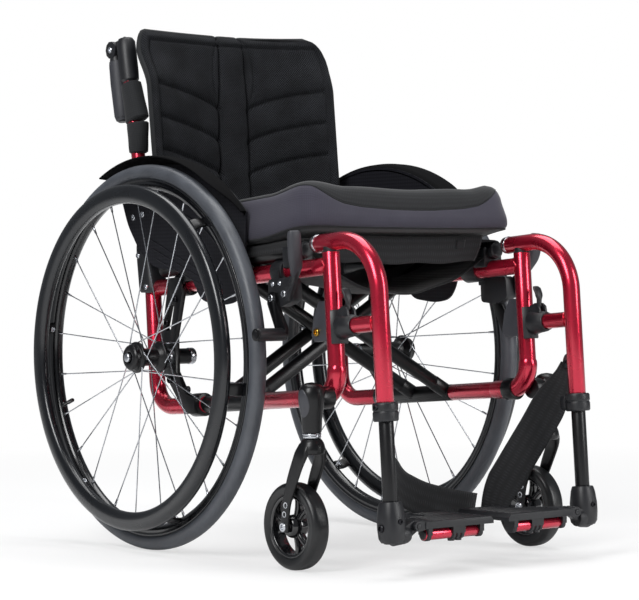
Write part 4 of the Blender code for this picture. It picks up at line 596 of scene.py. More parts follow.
def rear_wheel(name, s):
    """Tyre, deep rim, crossed spokes, hub, push ring on its tabs and valve of a quick-release wheel.

    Tyre and push ring are superellipses turned round the axle, and rim and hub are turned profiles. Each
    spoke leaves its flange 60 degrees before or after its place on the rim, so that spokes of a flange cross.
    Tabs are flat pipes from the rim out to the ring.
    """
    body, centre, axis = "wheel_" + name, world(s * WHEEL_X, 0, AXLE_Z), LATERAL * s
    c, q = superellipse(turns(24), 2.2)
    tread = np.stack([TYRE_MIDDLE_R + TYRE_HALF * c, TYRE_HALF * q], -1)
    turned("tyre_round_" + name, tread, centre, axis, rubber, body, 128, True, 60, ("tyre_" + name,))
    half = [(0.2693, 0.0), (0.2693, 0.0078), (0.2728, 0.0088), (0.2738, 0.0102), (0.2722, 0.0112),
            (0.2680, 0.0104), (0.2640, 0.0104), (0.2600, 0.0090), (0.2565, 0.0050), (0.2552, 0.0)]
    profile = filleted(half + [(r, -x) for r, x in half[-2:0:-1]], 0.0012, 3, True)
    turned("rim_deep_" + name, profile, centre, axis, rim_black, body, 128, True, 45, ("rim_" + name,))
    hub = [(0.001, 0.2125), (0.0115, 0.2125), (0.0135, 0.2150), (0.0140, 0.2195), (0.0215, 0.2212),
           (0.0240, 0.2225), (0.0240, 0.2265), (0.0205, 0.2285), (0.0150, 0.2330), (0.0135, 0.2400),
           (0.0135, 0.2500), (0.0150, 0.2570), (0.0205, 0.2615), (0.0240, 0.2635), (0.0240, 0.2675),
           (0.0205, 0.2690), (0.0195, 0.2715), (0.0195, 0.2768), (0.0165, 0.2798), (0.0105, 0.2800),
           (0.0085, 0.2792), (0.0078, 0.2740), (0.001, 0.2735)]
    hub_centre = world(0, 0, AXLE_Z)
    turned("hub_shell_" + name, filleted(hub, 0.0012, 3), hub_centre, axis, black_tube, body, 40, False, 40,
           ("hub_" + name,))
    turned("axle_pin_" + name, [(0.0005, 0.1580), (0.0050, 0.1580), (0.0063, 0.1595), (0.0063, 0.2130),
                                (0.0005, 0.2130)], hub_centre, axis, stainless, body, 24)
    turned("release_button_" + name, filleted([(0.0003, 0.2746), (0.0069, 0.2746), (0.0069, 0.2836),
                                               (0.0055, 0.2850), (0.0003, 0.2851)], 0.0006, 3), hub_centre,
           axis, stainless, "axle_button_" + name, 24, replaces=("axle_button_" + name,))
    wires, nipples = [], []
    rim_end = RIM_R - 0.0002
    for i in range(SPOKES):
        flange, lean = (1 if i % 2 else -1), (1 if (i // 2) % 2 else -1)
        rim_angle = 2 * math.pi * (i + 0.5) / SPOKES
        hub_angle = rim_angle + lean * math.radians(60)
        start_x, end_x = WHEEL_X + flange * (0.0200 + lean * 0.0021), WHEEL_X + flange * 0.0022
        start, end = (hub_centre + np.array((s * x, r * math.sin(a), r * math.cos(a)))
                      for x, r, a in ((start_x, SPOKE_HUB_R, hub_angle), (end_x, rim_end, rim_angle)))
        reach = unit(end - start)
        wires.append(pipe("wire", [start, end], SPOKE_R, stainless, body, sides=8, ends=0))
        nipples.append(pipe("nipple", [end - reach * 0.0130, end - reach * 0.0050, end + reach * 0.001],
                            [0.0015, 0.0019, 0.0021], stainless, body, sides=10, ends=0.0003))
    joined("spokes_" + name, *wires)
    joined("spoke_nipples_" + name, *nipples)
    ring_centre = world(s * HANDRIM_X, 0, AXLE_Z)
    c, q = superellipse(turns(40), 2.5)
    oval = np.stack([HANDRIM_R + HANDRIM_HALF[0] * c, HANDRIM_HALF[1] * q], -1)
    turned("push_ring_" + name, oval, ring_centre, axis, ring_anodised, body, 144, True, 60,
           ("handrim_" + name,))
    tabs, heads = [], []
    for angle in turns(TABS, 0.35):
        out = np.array((0, math.sin(angle), math.cos(angle)))
        along = np.array((0, math.cos(angle), -math.sin(angle)))
        root = centre + out * 0.2600 + LATERAL * s * 0.0102
        foot = ring_centre + out * 0.2530 - LATERAL * s * 0.0050
        tabs.append(pipe("tab", filleted([root - LATERAL * s * 0.001, root + LATERAL * s * 0.010,
                                          foot - out * 0.002, foot + LATERAL * s * 0.003], 0.006), 0.0095,
                         black_tube, body, 0.0030, normal=along, sides=20, power=3.5))
        heads.append(screw("head", root + along * 0.001 + LATERAL * s * 0.004 - out * 0.0028, -out, 0.0040,
                           0.0030, stainless, body))
    joined("push_ring_tabs_" + name, *tabs)
    joined("push_ring_screws_" + name, *heads)
    out = np.array((0, math.sin(1.9), math.cos(1.9)))
    turned("valve_" + name, filleted([(0.0004, -0.002), (0.0042, -0.002), (0.0042, 0.001), (0.0027, 0.0015),
                                      (0.0027, 0.014), (0.0034, 0.0145), (0.0034, 0.027), (0.0026, 0.029),
                                      (0.0003, 0.029)], 0.0005, 2), centre + out * 0.2562, -out, gloss_abs,
           body, 20)


# Castors

def castor(name, s):
    """Urethane wheel on webs, fork with its axle holes, and the head's washers and oval housing.

    Wheel, crown, washers and housing are turned profiles. A leg is a flat superellipse along a path, with its
    width and depth read off by how far down it has come. The oval cap lies on the housing: its reach in x is
    the root of the housing's radius squared less y squared.
    """
    body, fork = "castor_wheel_" + name, "castor_fork_" + name
    stem_x, axle_y = s * CASTOR_X, STEM_Y + CASTOR_TRAIL
    centre = world(stem_x, axle_y, CASTOR_R)
    tread = filleted([(0.0450, -0.0128), (0.0572, -0.0148), (0.0618, -0.0100), (0.0625, -0.0035),
                      (0.0625, 0.0035), (0.0618, 0.0100), (0.0572, 0.0148), (0.0450, 0.0128)], 0.0030, 5,
                     True)
    turned("castor_tyre_" + name, tread, centre, LATERAL, urethane, body, 72, True, 40,
           ("castor_wheel_" + name,))
    band = filleted([(0.0455, -0.0122), (0.0405, -0.0112), (0.0400, 0.0), (0.0405, 0.0112), (0.0455, 0.0122)],
                    0.002, 4, True)
    parts = [turned("band", band, centre, LATERAL, gloss_abs, body, 64, True),
             turned("core", filleted([(0.0045, -0.0148), (0.0125, -0.0148), (0.0165, -0.0080), (0.0172, 0.0),
                                      (0.0165, 0.0080), (0.0125, 0.0148), (0.0045, 0.0148)], 0.002, 4, True),
                    centre, LATERAL, gloss_abs, body, 40, True)]
    for angle in turns(3, 0.75):
        for lean in (-0.30, 0.30):
            points = [centre + np.array((0, r * math.sin(angle + lean * b), r * math.cos(angle + lean * b)))
                      for r, b in ((0.0140, 0.85), (0.0220, 0.80), (0.0310, 0.90), (0.0420, 1.15))]
            parts.append(pipe("web", filleted(points, 0.005), 0.0062, gloss_abs, body, 0.0042, sides=16,
                              power=3.0))
    joined("castor_core_" + name, *parts)
    drop = np.array((0.1790, 0.1650, 0.1280, 0.0980, 0.0800, 0.0625, 0.0545))
    trail = STEM_Y + np.array((0.0, 0.0030, 0.0215, 0.0335, 0.0370, 0.0380, 0.0380))
    legs = []
    for side in (-1, 1):
        spread = stem_x + side * np.array((0.0110, 0.0192, 0.0196, 0.0196, 0.0196, 0.0196, 0.0196))
        path = filleted(list(world(spread, trail, drop)), 0.020, 5)
        share = (drop[0] - path[:, 2]) / (drop[0] - drop[-1])
        legs.append(pipe("leg", path, np.interp(share, [0, 0.12, 0.2, 1], [0.0060, 0.0036, 0.0025, 0.0025]),
                         black_tube, fork, np.interp(share, [0, 0.12, 0.4, 0.65, 1.0],
                                                     [0.0105, 0.0122, 0.0112, 0.0086, 0.0082]), sides=28,
                         power=4.0))
    crown = filleted([(0.0004, 0.0), (0.0170, 0.0), (0.0192, 0.0060), (0.0178, 0.0140), (0.0150, 0.0200),
                      (0.0120, 0.0225), (0.0004, 0.0225)], 0.0030, 4, True)
    legs.append(turned("crown", crown, world(stem_x, STEM_Y, 0.1662), UP, rim_black, fork, 48, True))
    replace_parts(joined("castor_legs_" + name, *legs), "castor_fork_" + name)
    bolts = []
    for side in (-1, 1):
        bolts.append(screw("bolt", centre + LATERAL * side * 0.0222, LATERAL * side, 0.0068, 0.0030,
                           stainless, fork))
        for k in range(2):
            place = world(stem_x + side * 0.0221, axle_y - 0.0015 - 0.003 * k, CASTOR_R + 0.018 + 0.013 * k)
            bolts.append(turned("eyelet", [(0.0032, -0.0012), (0.0045, -0.0003), (0.0045, 0.0003),
                                           (0.0030, 0.0002)], place, LATERAL * side, stainless, fork, 20,
                                True))
    joined("castor_bolts_" + name, *bolts)
    top = world(stem_x, STEM_Y, 0.1935)
    ring = filleted([(0.0085, -0.0042), (0.0122, -0.0042), (0.0132, -0.0020), (0.0126, 0.0004),
                     (0.0136, 0.0014), (0.0130, 0.0028), (0.0085, 0.0028)], 0.0007, 3, True)
    turned("castor_washers_" + name, ring, top, UP, stainless, fork, 48, True)
    heights = np.array((0.1966, 0.1974, 0.2010, 0.2160, 0.2300, 0.2420, 0.2520, 0.2590, 0.2640, 0.2668,
                        0.2680))
    radii = np.array((0.0110, 0.0132, 0.0140, 0.0146, 0.0168, 0.0186, 0.0190, 0.0176, 0.0140, 0.0085, 0.0010))
    t = turns(48)
    rows = [world(stem_x + r * np.cos(t), STEM_Y + r * np.sin(t), np.full(48, h))
            for h, r in zip(heights, radii)]
    parts = [surface("cone", rows, black_tube, "frame_" + name, ring=True, closed_ends=True),
             pipe("neck", [world(stem_x, STEM_Y, 0.2440), world(s * (FRAME_X + 0.0100), STEM_Y, 0.2460)],
                  0.0158, moulded_nylon, "frame_" + name, sides=36),
             pipe("clamp", [at(s * FRAME_X, 0.362, LOWER_W), at(s * FRAME_X, 0.340, LOWER_W)],
                  TUBE_R + 0.0042, moulded_nylon, "frame_" + name, sides=36)]
    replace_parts(joined("castor_head_" + name, *parts), "castor_housing_" + name)
    shrink = np.array((1.0, 0.97, 0.90, 0.60, 0.02))[:, None]
    y, z = STEM_Y + 0.0118 * shrink * np.cos(t), 0.2385 + 0.0200 * shrink * np.sin(t)
    reach = np.sqrt(np.maximum(np.interp(z, heights, radii) ** 2 - (y - STEM_Y) ** 2, 0.0))
    rise = np.array((-0.0006, 0.0004, 0.0007, 0.0007, 0.0007))[:, None]
    surface("castor_head_cap_" + name, world(stem_x + s * (reach + rise), y, z), warm_grey, "frame_" + name,
            ring=True, closed_ends=True)


# Side frames

def side_frame(name, s):
    """Red tube loop with stepped elbow, weld, catch, saddle and axle bracket, and what it carries.

    The tubes are pipes along straight runs joined by circular arcs. The weld is a torus round the curve on
    which the upper rail's cylinder meets the front tube's.
    """
    body, x = "frame_" + name, s * FRAME_X
    rear = bent([at(x, SLEEVE_U[0], LOWER_W), at(x, REAR_U, LOWER_W), at(x, REAR_U, UPPER_W + 0.006)], 0.040)
    front = bent([at(x, FRONT_U, 0.1295), at(x, FRONT_U, LOWER_W), at(x, SLEEVE_U[1], LOWER_W)], 0.038)
    elbow = bent([at(x, FRONT_U, -0.0375), at(x, FRONT_U, LOWER_W), at(x, 0.318, LOWER_W)], 0.038, 14)
    step = at(x, FRONT_U, -0.0335), at(x, FRONT_U, -0.0365)
    foot = at(x, 0.3155, LOWER_W), at(x, 0.3120, LOWER_W)
    elbow = np.vstack([step, elbow[1:-1], foot])
    thick = np.concatenate([[TUBE_R, 0.0139], np.full(len(elbow) - 4, 0.0142), [0.0139, TUBE_R]])
    loop = [pipe("part", rear, TUBE_R, candy_red, body, sides=36),
            pipe("part", [at(x, REAR_U, UPPER_W), at(x, FRONT_U, UPPER_W)], TUBE_R * 0.995, candy_red, body,
                 sides=36),
            pipe("part", front, TUBE_R, candy_red, body, sides=36),
            pipe("part", elbow, thick, candy_red, body, sides=36, ends=0)]
    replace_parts(joined("frame_loop_" + name, *loop), "side_frame_" + name)
    t, r, a = turns(48), TUBE_R + 0.0004, turns(10)[:, None, None]
    weld = at(x + r * np.cos(t), FRONT_U - r * np.abs(np.sin(t)) - 0.0004, UPPER_W + r * np.sin(t))
    outward = unit(weld - at(x, FRONT_U, UPPER_W))
    rings = weld + outward * WELD_R * np.cos(a) - ALONG * WELD_R * np.sin(a)
    surface("frame_weld_" + name, rings, candy_red, body, ring=True, loop=True)
    turned("frame_top_bush_" + name, filleted([(0.0088, -0.0015), (0.0125, -0.0015), (0.0126, 0.0010),
                                               (0.0088, 0.0012)], 0.0005, 2, True), at(x, FRONT_U, 0.1288),
           ACROSS, moulded_nylon, body, 36, True)
    softened("saddle_block_" + name, "seat_saddle_" + name, moulded_nylon, body, 0.0016, 3)
    softened("catch_block_" + name, "hanger_catch_" + name, warm_grey, body, 0.0012, 3)
    softened("axle_plate_" + name, "axle_bracket_" + name, black_tube, body, 0.0016, 3)
    clamps = [pipe("clamp", [at(x, u - 0.014, w), at(x, u + 0.014, w)], TUBE_R + 0.0052, black_tube, body,
                   sides=36, ends=0.002) for u, w in ((0.026, UPPER_W), (0.049, LOWER_W))]
    joined("axle_plate_clamps_" + name, *clamps)
    turned("axle_receiver_" + name, filleted([(0.0068, 0.1615), (0.0128, 0.1615), (0.0128, 0.1700),
                                              (0.0118, 0.1710), (0.0118, 0.1950), (0.0135, 0.1990),
                                              (0.0135, 0.2115), (0.0068, 0.2119)], 0.0008, 2, True),
           world(0, 0, AXLE_Z), LATERAL * s, stainless, body, 32, True)
    bolts = [screw("bolt", at(s * 0.2062, u, w), LATERAL * s, 0.0055, 0.0040, dark_screw, body)
             for u, w in ((0.026, UPPER_W - 0.022), (0.049, LOWER_W + 0.024), (0.001, 0.052),
                          (0.002, -0.036))]
    joined("axle_plate_bolts_" + name, *bolts)
    brass_place = at(s * (FRAME_X + 0.0062), FRONT_U - 0.0335, CATCH_SCREW_W)
    screw("catch_screw_" + name, brass_place, LATERAL * s, 0.0055, 0.0035, brass, body)
    socket(name, s)
    back_cane(name, s)
    brake(name, s)
    side_guard(name, s)


def socket(name, s):
    """Moulded clamp at the frame's rear corner: superellipse rings that climb from the rail to the cane."""
    x, body = s * FRAME_X, "frame_" + name
    low, high = at(x, REAR_U + 0.002, UPPER_W - 0.0062), on_cane(x, 0.052, 0)
    levels = np.array((0, 0.02, 0.06, 0.12, 0.30, 0.55, 0.75, 0.92, 0.98, 1.0))
    wide = np.array((0.0160, 0.0172, 0.0180, 0.0182, 0.0178, 0.0172, 0.0166, 0.0156, 0.0148, 0.0135))
    deep = np.array((0.0180, 0.0192, 0.0200, 0.0203, 0.0196, 0.0188, 0.0181, 0.0168, 0.0158, 0.0145))
    path = low + (high - low) * levels[:, None]
    c, q = superellipse(turns(40), 4)
    grid = path[:, None] + np.stack([wide[:, None] * c, deep[:, None] * q, 0 * wide[:, None] * c], -1)
    surface("cane_clamp_" + name, grid, moulded_nylon, body, ring=True, closed_ends=True,
            replaces=("cane_socket_" + name,))
    bolts = [screw("bolt", path[k] + LATERAL * s * (wide[k] - 0.0004) + np.array((0, y, 0)), LATERAL * s,
                   0.0045, 0.003, stainless, body) for k, y in ((3, -0.008), (6, 0.006))]
    joined("cane_clamp_bolts_" + name, *bolts)


def back_cane(name, s):
    """Leaning tube with the push handle's black head and the back's three fabric sleeves.

    All are superellipses along the cane. A sleeve's depth changes evenly from foot to brow, and it is moved
    forward as much, so that it reaches the pad.
    """
    x, body = s * FRAME_X, "frame_" + name
    pipe("cane_tube_" + name, on_cane(x, np.array((0.026, 0.200, 0.380)), 0), CANE_R, candy_red, body,
         sides=32, replaces=("back_cane_" + name,))
    head = pipe("part", on_cane(x, np.array((0.313, 0.317, 0.330, 0.360, 0.379, 0.385)), 0),
                [0.0118, 0.0146, 0.0152, 0.0152, 0.0148, 0.0120], moulded_nylon, body, sides=32)
    lug = pipe("part", on_cane(x, HANDLE_UP, np.array((0.0, -0.012, -0.024, -0.034, -0.0405))), 0.0050,
               moulded_nylon, body, [0.0150, 0.0138, 0.0132, 0.0130, 0.0090], sides=24, power=3.0)
    joined("cane_head_" + name, head, lug)
    sleeves = []
    for low, high, wide, foot, brow in ((0.124, 0.180, 0.0012, 0.0040, 0.0075),
                                        (0.197, 0.246, 0.0002, 0.0025, 0.0090),
                                        (0.2485, 0.3115, 0.0014, 0.0090, 0.0020)):
        stations = np.array((low, low + 0.002, low + 0.010, (low + high) / 2, high - 0.010, high - 0.002,
                             high))
        sizes = wide + np.array((0.0118, 0.0131, 0.0134, 0.0131, 0.0134, 0.0131, 0.0118))
        reach = foot + (brow - foot) * (stations - low) / (high - low)
        sleeves.append(pipe("sleeve", on_cane(x, stations, reach - 0.0005), sizes, edge_knit, body,
                            sizes + reach, sides=36, power=2.4))
    joined("cane_sleeves_" + name, *sleeves)


def push_handle(name, s):
    """Folded grip behind the cane: a forked head, then a sleeve whose radius swells and closes."""
    body, x = "push_handle_" + name, s * FRAME_X
    softened("handle_fork_" + name, "push_handle_" + name, moulded_nylon, body, 0.0012, 3)
    centre = on_cane(x, HANDLE_UP, -HANDLE_BACK)
    stations = np.array((0.016, 0.019, 0.026, 0.055, 0.090, 0.108, 0.1155, 0.1178))
    sizes = [0.0100, 0.0126, 0.0134, 0.0143, 0.0138, 0.0136, 0.0112, 0.0070]
    pipe("handle_grip_" + name, centre - CANE_UP * stations[:, None], sizes, grip_rubber, body, sides=36)
    bolts = [screw("bolt", centre + LATERAL * side * 0.0100, LATERAL * side, 0.0050, 0.0028, stainless, body)
             for side in (-1, 1)]
    joined("handle_bolts_" + name, *bolts)


def brake(name, s):
    """Brake block with screws and clamp, hand lever with a domed grip, and shoe arm with its roller.

    Block, lever foot and arm are the solids with rounded edges, the grip is a flattened superellipse along
    the lever, and the roller is a turned profile.
    """
    body, x = "frame_" + name, s * FRAME_X
    softened("brake_block_" + name, "brake_mount_" + name, moulded_nylon, body, 0.0020, 3)
    pipe("brake_clamp_" + name, [at(x, 0.263, UPPER_W), at(x, 0.291, UPPER_W)], TUBE_R + 0.0050,
         moulded_nylon, body, sides=36, ends=0.002)
    pins = [screw("pin", world(s * 0.2215, y, z), LATERAL * s, 0.0052, 0.0032, stainless, body)
            for y, z in (LEVER_PIVOT, SHOE_PIVOT)]
    pins += [screw("pin", world(s * 0.2150, y, z), LATERAL * s, 0.0040, 0.0020, stainless, body)
             for y, z in ((-0.2960, 0.4070), (-0.2800, 0.4060))]
    joined("brake_screws_" + name, *pins)
    softened("brake_lever_foot_" + name, "brake_lever_" + name, moulded_nylon, "brake_lever_" + name,
             0.0012, 3)
    y, z = LEVER_PIVOT
    path = filleted([world(s * p, q, r) for p, q, r in ((0.2205, y - 0.024, z + 0.026),
                                                        (0.2250, y - 0.033, z + 0.040),
                                                        (0.2320, y - 0.039, z + 0.056),
                                                        (0.2345, y - 0.0405, z + 0.080),
                                                        (0.2350, y - 0.0410, z + 0.0900))], 0.008)
    amount = np.linspace(0, 1, len(path))
    wide = np.interp(amount, [0, 0.12, 0.4, 0.85, 1.0], [0.0072, 0.0094, 0.0106, 0.0106, 0.0098])
    pipe("brake_lever_grip_" + name, path, wide, grip_rubber, "brake_lever_" + name, wide * 0.66, sides=32,
         power=2.6, ends=0.0035)
    softened("brake_arm_" + name, "brake_shoe_" + name, black_tube, "brake_shoe_" + name, 0.0010, 2)
    roller = filleted([(0.0030, 0.2200), (0.0094, 0.2200), (0.0094, 0.2640), (0.0086, 0.2672),
                       (0.0050, 0.2680), (0.0030, 0.2680)], 0.0010, 3, True)
    turned("brake_roller_" + name, roller, world(0, *ROLLER), LATERAL * s, moulded_nylon,
           "brake_shoe_" + name, 36, True)
    screw("brake_roller_screw_" + name, world(s * 0.2672, *ROLLER), LATERAL * s, 0.0058, 0.0026, dark_screw,
          "brake_shoe_" + name, 0.62)


def side_guard(name, s):
    """Moulded panel inboard of the wheel: a ruled sheet from its lower outline to the arc of the fender.

    The fender is one profile carried round the axle, which narrows and sinks over its last 14 degrees in
    front.
    """
    body = "frame_" + name
    rear, front = math.radians(25), math.radians(-44)
    angle = np.linspace(rear, front, 73)
    top = np.stack([(FENDER_R - 0.003) * np.sin(angle), AXLE_Z + (FENDER_R - 0.003) * np.cos(angle)], -1)
    corners = np.array([(0.124, 0.545), (0.105, 0.500), (0.072, 0.458), (0.030, 0.432), (-0.062, 0.425),
                        (-0.095, 0.381), (-0.150, 0.3745), (-0.186, 0.380), (-0.203, 0.405),
                        (-0.2070, 0.460)])
    low = filleted(corners, 0.014, 4)
    run = lengths(low[:, None])
    share = np.linspace(0, 1, 73) * run[-1]
    low = np.stack([np.interp(share, run, low[:, k]) for k in (0, 1)], -1)
    v = np.linspace(0, 1, 15)[None, :, None]
    flat = low[:, None] * (1 - v) + top[:, None] * v
    outer, inner = s * (GUARD_X + 0.0030), s * (GUARD_X + 0.0002)
    sheets = [world(np.full(flat.shape[:2], x), flat[..., 0], flat[..., 1]) for x in (outer, inner)]
    surface("guard_panel_" + name, np.concatenate([sheets[0], sheets[1][:, ::-1]], 1), carbon, body,
            ring=True, closed_ends=True, replaces=("sideguard_" + name,))
    profile = filleted([(GUARD_X + 0.0002, FENDER_R - 0.0120), (GUARD_X + 0.0002, FENDER_R - 0.004),
                        (GUARD_X + 0.006, FENDER_R + 0.0018), (GUARD_X + 0.022, FENDER_R + 0.0040),
                        (FENDER_X + 0.0002, FENDER_R + 0.0034), (FENDER_X + 0.0006, FENDER_R + 0.0012),
                        (FENDER_X - 0.001, FENDER_R + 0.0006), (GUARD_X + 0.022, FENDER_R + 0.0016),
                        (GUARD_X + 0.009, FENDER_R - 0.001), (GUARD_X + 0.0030, FENDER_R - 0.0055),
                        (GUARD_X + 0.0030, FENDER_R - 0.0120)], 0.0030, 4, True)
    taper = smooth_step((angle - front) / math.radians(14))[:, None]
    wide = GUARD_X + (profile[None, :, 0] - GUARD_X) * (0.35 + 0.65 * taper)
    r = profile[None, :, 1] - 0.004 * (1 - taper)
    grid = world(s * wide, r * np.sin(angle)[:, None], AXLE_Z + r * np.cos(angle)[:, None])
    surface("fender_" + name, grid, matte_guard, body, ring=True, closed_ends=True)
    face = s * (GUARD_X + 0.0030)
    arc = np.radians(np.linspace(8, -42, 30))
    ribs = [pipe("rib", world(np.full(30, face), 0.226 * np.sin(arc) + 0.012, AXLE_Z + 0.226 * np.cos(arc)),
                 0.0016, carbon, body, sides=10)]
    for shift in (0.0, 0.016, 0.032):
        ribs.append(pipe("rib", [world(face, 0.046 - shift * 0.6, 0.478 - shift),
                                 world(face, -0.150, 0.405 - shift * 0.55)], 0.0011, carbon, body, sides=8))
    joined("guard_ribs_" + name, *ribs)
    posts = [pipe("post", [at(s * (FRAME_X + TUBE_R + 0.0004), u, UPPER_W),
                           at(s * (GUARD_X + 0.001), u, UPPER_W)], 0.0062, moulded_nylon, body, normal=ALONG,
                  sides=24) for u in (0.122, 0.186)]
    joined("guard_posts_" + name, *posts)
    bolts = [screw("bolt", place, LATERAL * s, 0.0050, 0.0024, stainless, body)
             for place in (world(s * 0.2105, 0.088, 0.5120), world(s * 0.2105, 0.062, 0.5160),
                           at(s * 0.2105, 0.122, UPPER_W), at(s * 0.2105, 0.186, UPPER_W))]
    joined("guard_bolts_" + name, *bolts)


# Hangers and footrests

def hanger(name, s):
    """Bent red tube with its plug, clip, stub and latch block, the collar, and the footrest's tube and elbow.

    Tubes are pipes, and plug, clip, pin and collar turned profiles. The weld is a torus round the stub,
    pushed forward by the square of the cosine where the stub meets the tube. The latch's shell is a third of
    a cylinder.
    """
    body, x = "hanger_" + name, s * FRAME_X
    run = bent([at(x, HANGER_REAR_U + 0.004, HANGER_W), at(x, HANGER_U, HANGER_W),
                at(x, HANGER_U, HANGER_LOW_W)], HANGER_BEND, 28)
    tube = pipe("part", run, TUBE_R, candy_red, body, sides=40)
    stub = pipe("part", [at(x, FRONT_U + 0.036, STUB_W), at(x, HANGER_U - 0.004, STUB_W)], STUB_R, candy_red,
                body, sides=32, ends=0)
    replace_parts(joined("hanger_bow_" + name, tube, stub), "hanger_tube_" + name)
    plug_centre = at(x, HANGER_REAR_U, HANGER_W)
    turned("hanger_plug_" + name, filleted([(0.0003, -0.0020), (0.0085, -0.0014), (0.0122, 0.0012),
                                            (0.0128, 0.0040), (0.0100, 0.0045), (0.0003, 0.0045)], 0.0012, 3),
           plug_centre, ALONG, moulded_nylon, body, 36)
    turned("hanger_clip_" + name, filleted([(0.0124, -0.0022), (0.0134, -0.0018), (0.0134, 0.0018),
                                            (0.0124, 0.0022)], 0.0006, 3, True), plug_centre + ALONG * 0.0085,
           ALONG, stainless, body, 40, True)
    turned("hanger_pin_" + name, filleted([(0.0003, 0.0), (0.0078, 0.0), (0.0083, 0.0020), (0.0083, 0.036),
                                           (0.0003, 0.036)], 0.0010, 3), at(x, FRONT_U, 0.0895), ACROSS,
           stainless, body, 28)
    turned("hanger_neck_" + name, filleted([(0.0084, -0.0008), (0.0112, -0.0008), (0.0112, 0.006),
                                            (0.0084, 0.006)], 0.0008, 3, True), at(x, FRONT_U, 0.1302),
           ACROSS, moulded_nylon, body, 36, True)
    a, b = turns(40)[None, :], turns(8)[:, None]
    r = STUB_R + 0.0001 + 0.0014 * np.cos(b)
    bead = at(x + r * np.cos(a), HANGER_U - 0.0124 + 0.0014 * np.sin(b) + 0.0030 * np.cos(a) ** 2,
              STUB_W + r * np.sin(a))
    surface("hanger_weld_" + name, bead, candy_red, body, ring=True, loop=True)
    softened("latch_block_" + name, "hanger_latch_block_" + name, moulded_nylon, body, 0.0018, 3)
    hoop = [pipe("part", [at(x, FRONT_U + a, STUB_W) for a in (0.0185, 0.030, 0.0440, 0.0470)],
                 [0.0163, 0.0157, 0.0152, 0.0140], moulded_nylon, body, [0.0190, 0.0168, 0.0152, 0.0140],
                 sides=36)]
    angle = np.linspace(-1.0, 1.0, 21)
    w, r = np.array([(-0.0237, 0.0150), (-0.0240, 0.0172), (-0.0225, 0.0183), (0.0, 0.0186), (0.0225, 0.0183),
                     (0.0240, 0.0172), (0.0237, 0.0150)]).T[:, :, None]
    shell = at(x + r * np.sin(angle), FRONT_U + r * np.cos(angle), STUB_W + w)
    hoop.append(surface("part", shell, moulded_nylon, body))
    joined("latch_shell_" + name, *hoop)
    lever = "latch_lever_" + name
    points = [(0.0000, -0.0010), (0.0000, 0.0075), (0.0008, 0.0120), (0.0004, 0.0190), (-0.0030, 0.0265),
              (-0.0060, 0.0305)]
    path = filleted([at(x, LATCH_U + a, STUB_W + 0.0235 + b) for a, b in points], 0.006)
    amount = np.linspace(0, 1, len(path))
    pipe("latch_thumb_" + name, path, np.interp(amount, [0, 0.3, 0.5, 0.9, 1],
                                                [0.0036, 0.0038, 0.0066, 0.0074, 0.0060]), moulded_nylon,
         lever, np.interp(amount, [0, 0.3, 0.6, 0.9, 1], [0.0034, 0.0034, 0.0031, 0.0027, 0.0018]), sides=24,
         power=2.6, replaces=(lever,))
    collar = "hanger_collar_" + name
    low = HANGER_LOW_W - 0.0032
    turned("collar_ring_" + name, filleted([(0.0112, low), (0.0166, low), (0.0180, low + 0.002),
                                            (0.0182, low + 0.0125), (0.0172, low + 0.0135),
                                            (0.0172, low + 0.0150), (0.0182, low + 0.0160),
                                            (0.0180, low + 0.0240), (0.0165, low + 0.0262),
                                            (0.0129, low + 0.0262), (0.0129, low + 0.0040)], 0.0008, 2, True),
           at(x, HANGER_U, 0), ACROSS, moulded_nylon, body, 48, True, replaces=(collar,))
    pipe("collar_lug_" + name, [at(x - s * 0.0095, HANGER_U - 0.0165 - a, HANGER_LOW_W + 0.0095)
                                for a in (-0.004, 0.0, 0.008)], [0.0042, 0.0040, 0.0034], moulded_nylon,
         body, [0.0115, 0.0112, 0.0105], sides=24, power=4)
    screw("collar_screw_" + name, at(x + s * 0.0180, HANGER_U + 0.001, HANGER_LOW_W + 0.0165), LATERAL * s,
          0.0042, 0.0026, dark_screw, body)
    foot = world(x, FOOT_Y, FOOT_Z)
    pipe("footrest_leg_" + name, [at(x, HANGER_U, HANGER_LOW_W + 0.020), foot + ACROSS * 0.0045], 0.0105,
         black_tube, body, sides=32, replaces=("footrest_tube_" + name,))
    boss = pipe("part", [foot + ACROSS * h for h in (-0.0205, -0.0185, -0.0130, 0.0, 0.0130, 0.0300, 0.0378)],
                [0.0110, 0.0146, 0.0176, 0.0188, 0.0188, 0.0168, 0.0150], moulded_nylon, body,
                [0.0112, 0.0150, 0.0186, 0.0198, 0.0198, 0.0174, 0.0154], sides=40, power=2.3)
    arm = pipe("part", [world(s * a, HINGE_Y + b, 0.0600)
                        for a, b in ((0.1870, 0.004), (0.1740, 0.0025), (0.1665, 0.0), (0.1622, 0.0))],
               [0.0152, 0.0140, 0.0124, 0.0112], moulded_nylon, body, normal=UP, sides=32)
    joined("elbow_boss_" + name, boss, arm)
    softened("elbow_knuckle_" + name, "footrest_elbow_" + name, moulded_nylon, body, 0.0010, 2)
    bolts = [screw("bolt", foot + LATERAL * s * 0.0182 + ACROSS * 0.002, LATERAL * s, 0.0058, 0.0030,
                   dark_screw, body),
             screw("bolt", foot - BACKWARD * 0.0192 + ACROSS * 0.012, -BACKWARD, 0.0040, 0.0026,
                   dark_screw, body)]
    joined("elbow_bolts_" + name, *bolts)
    footplate(name, s)


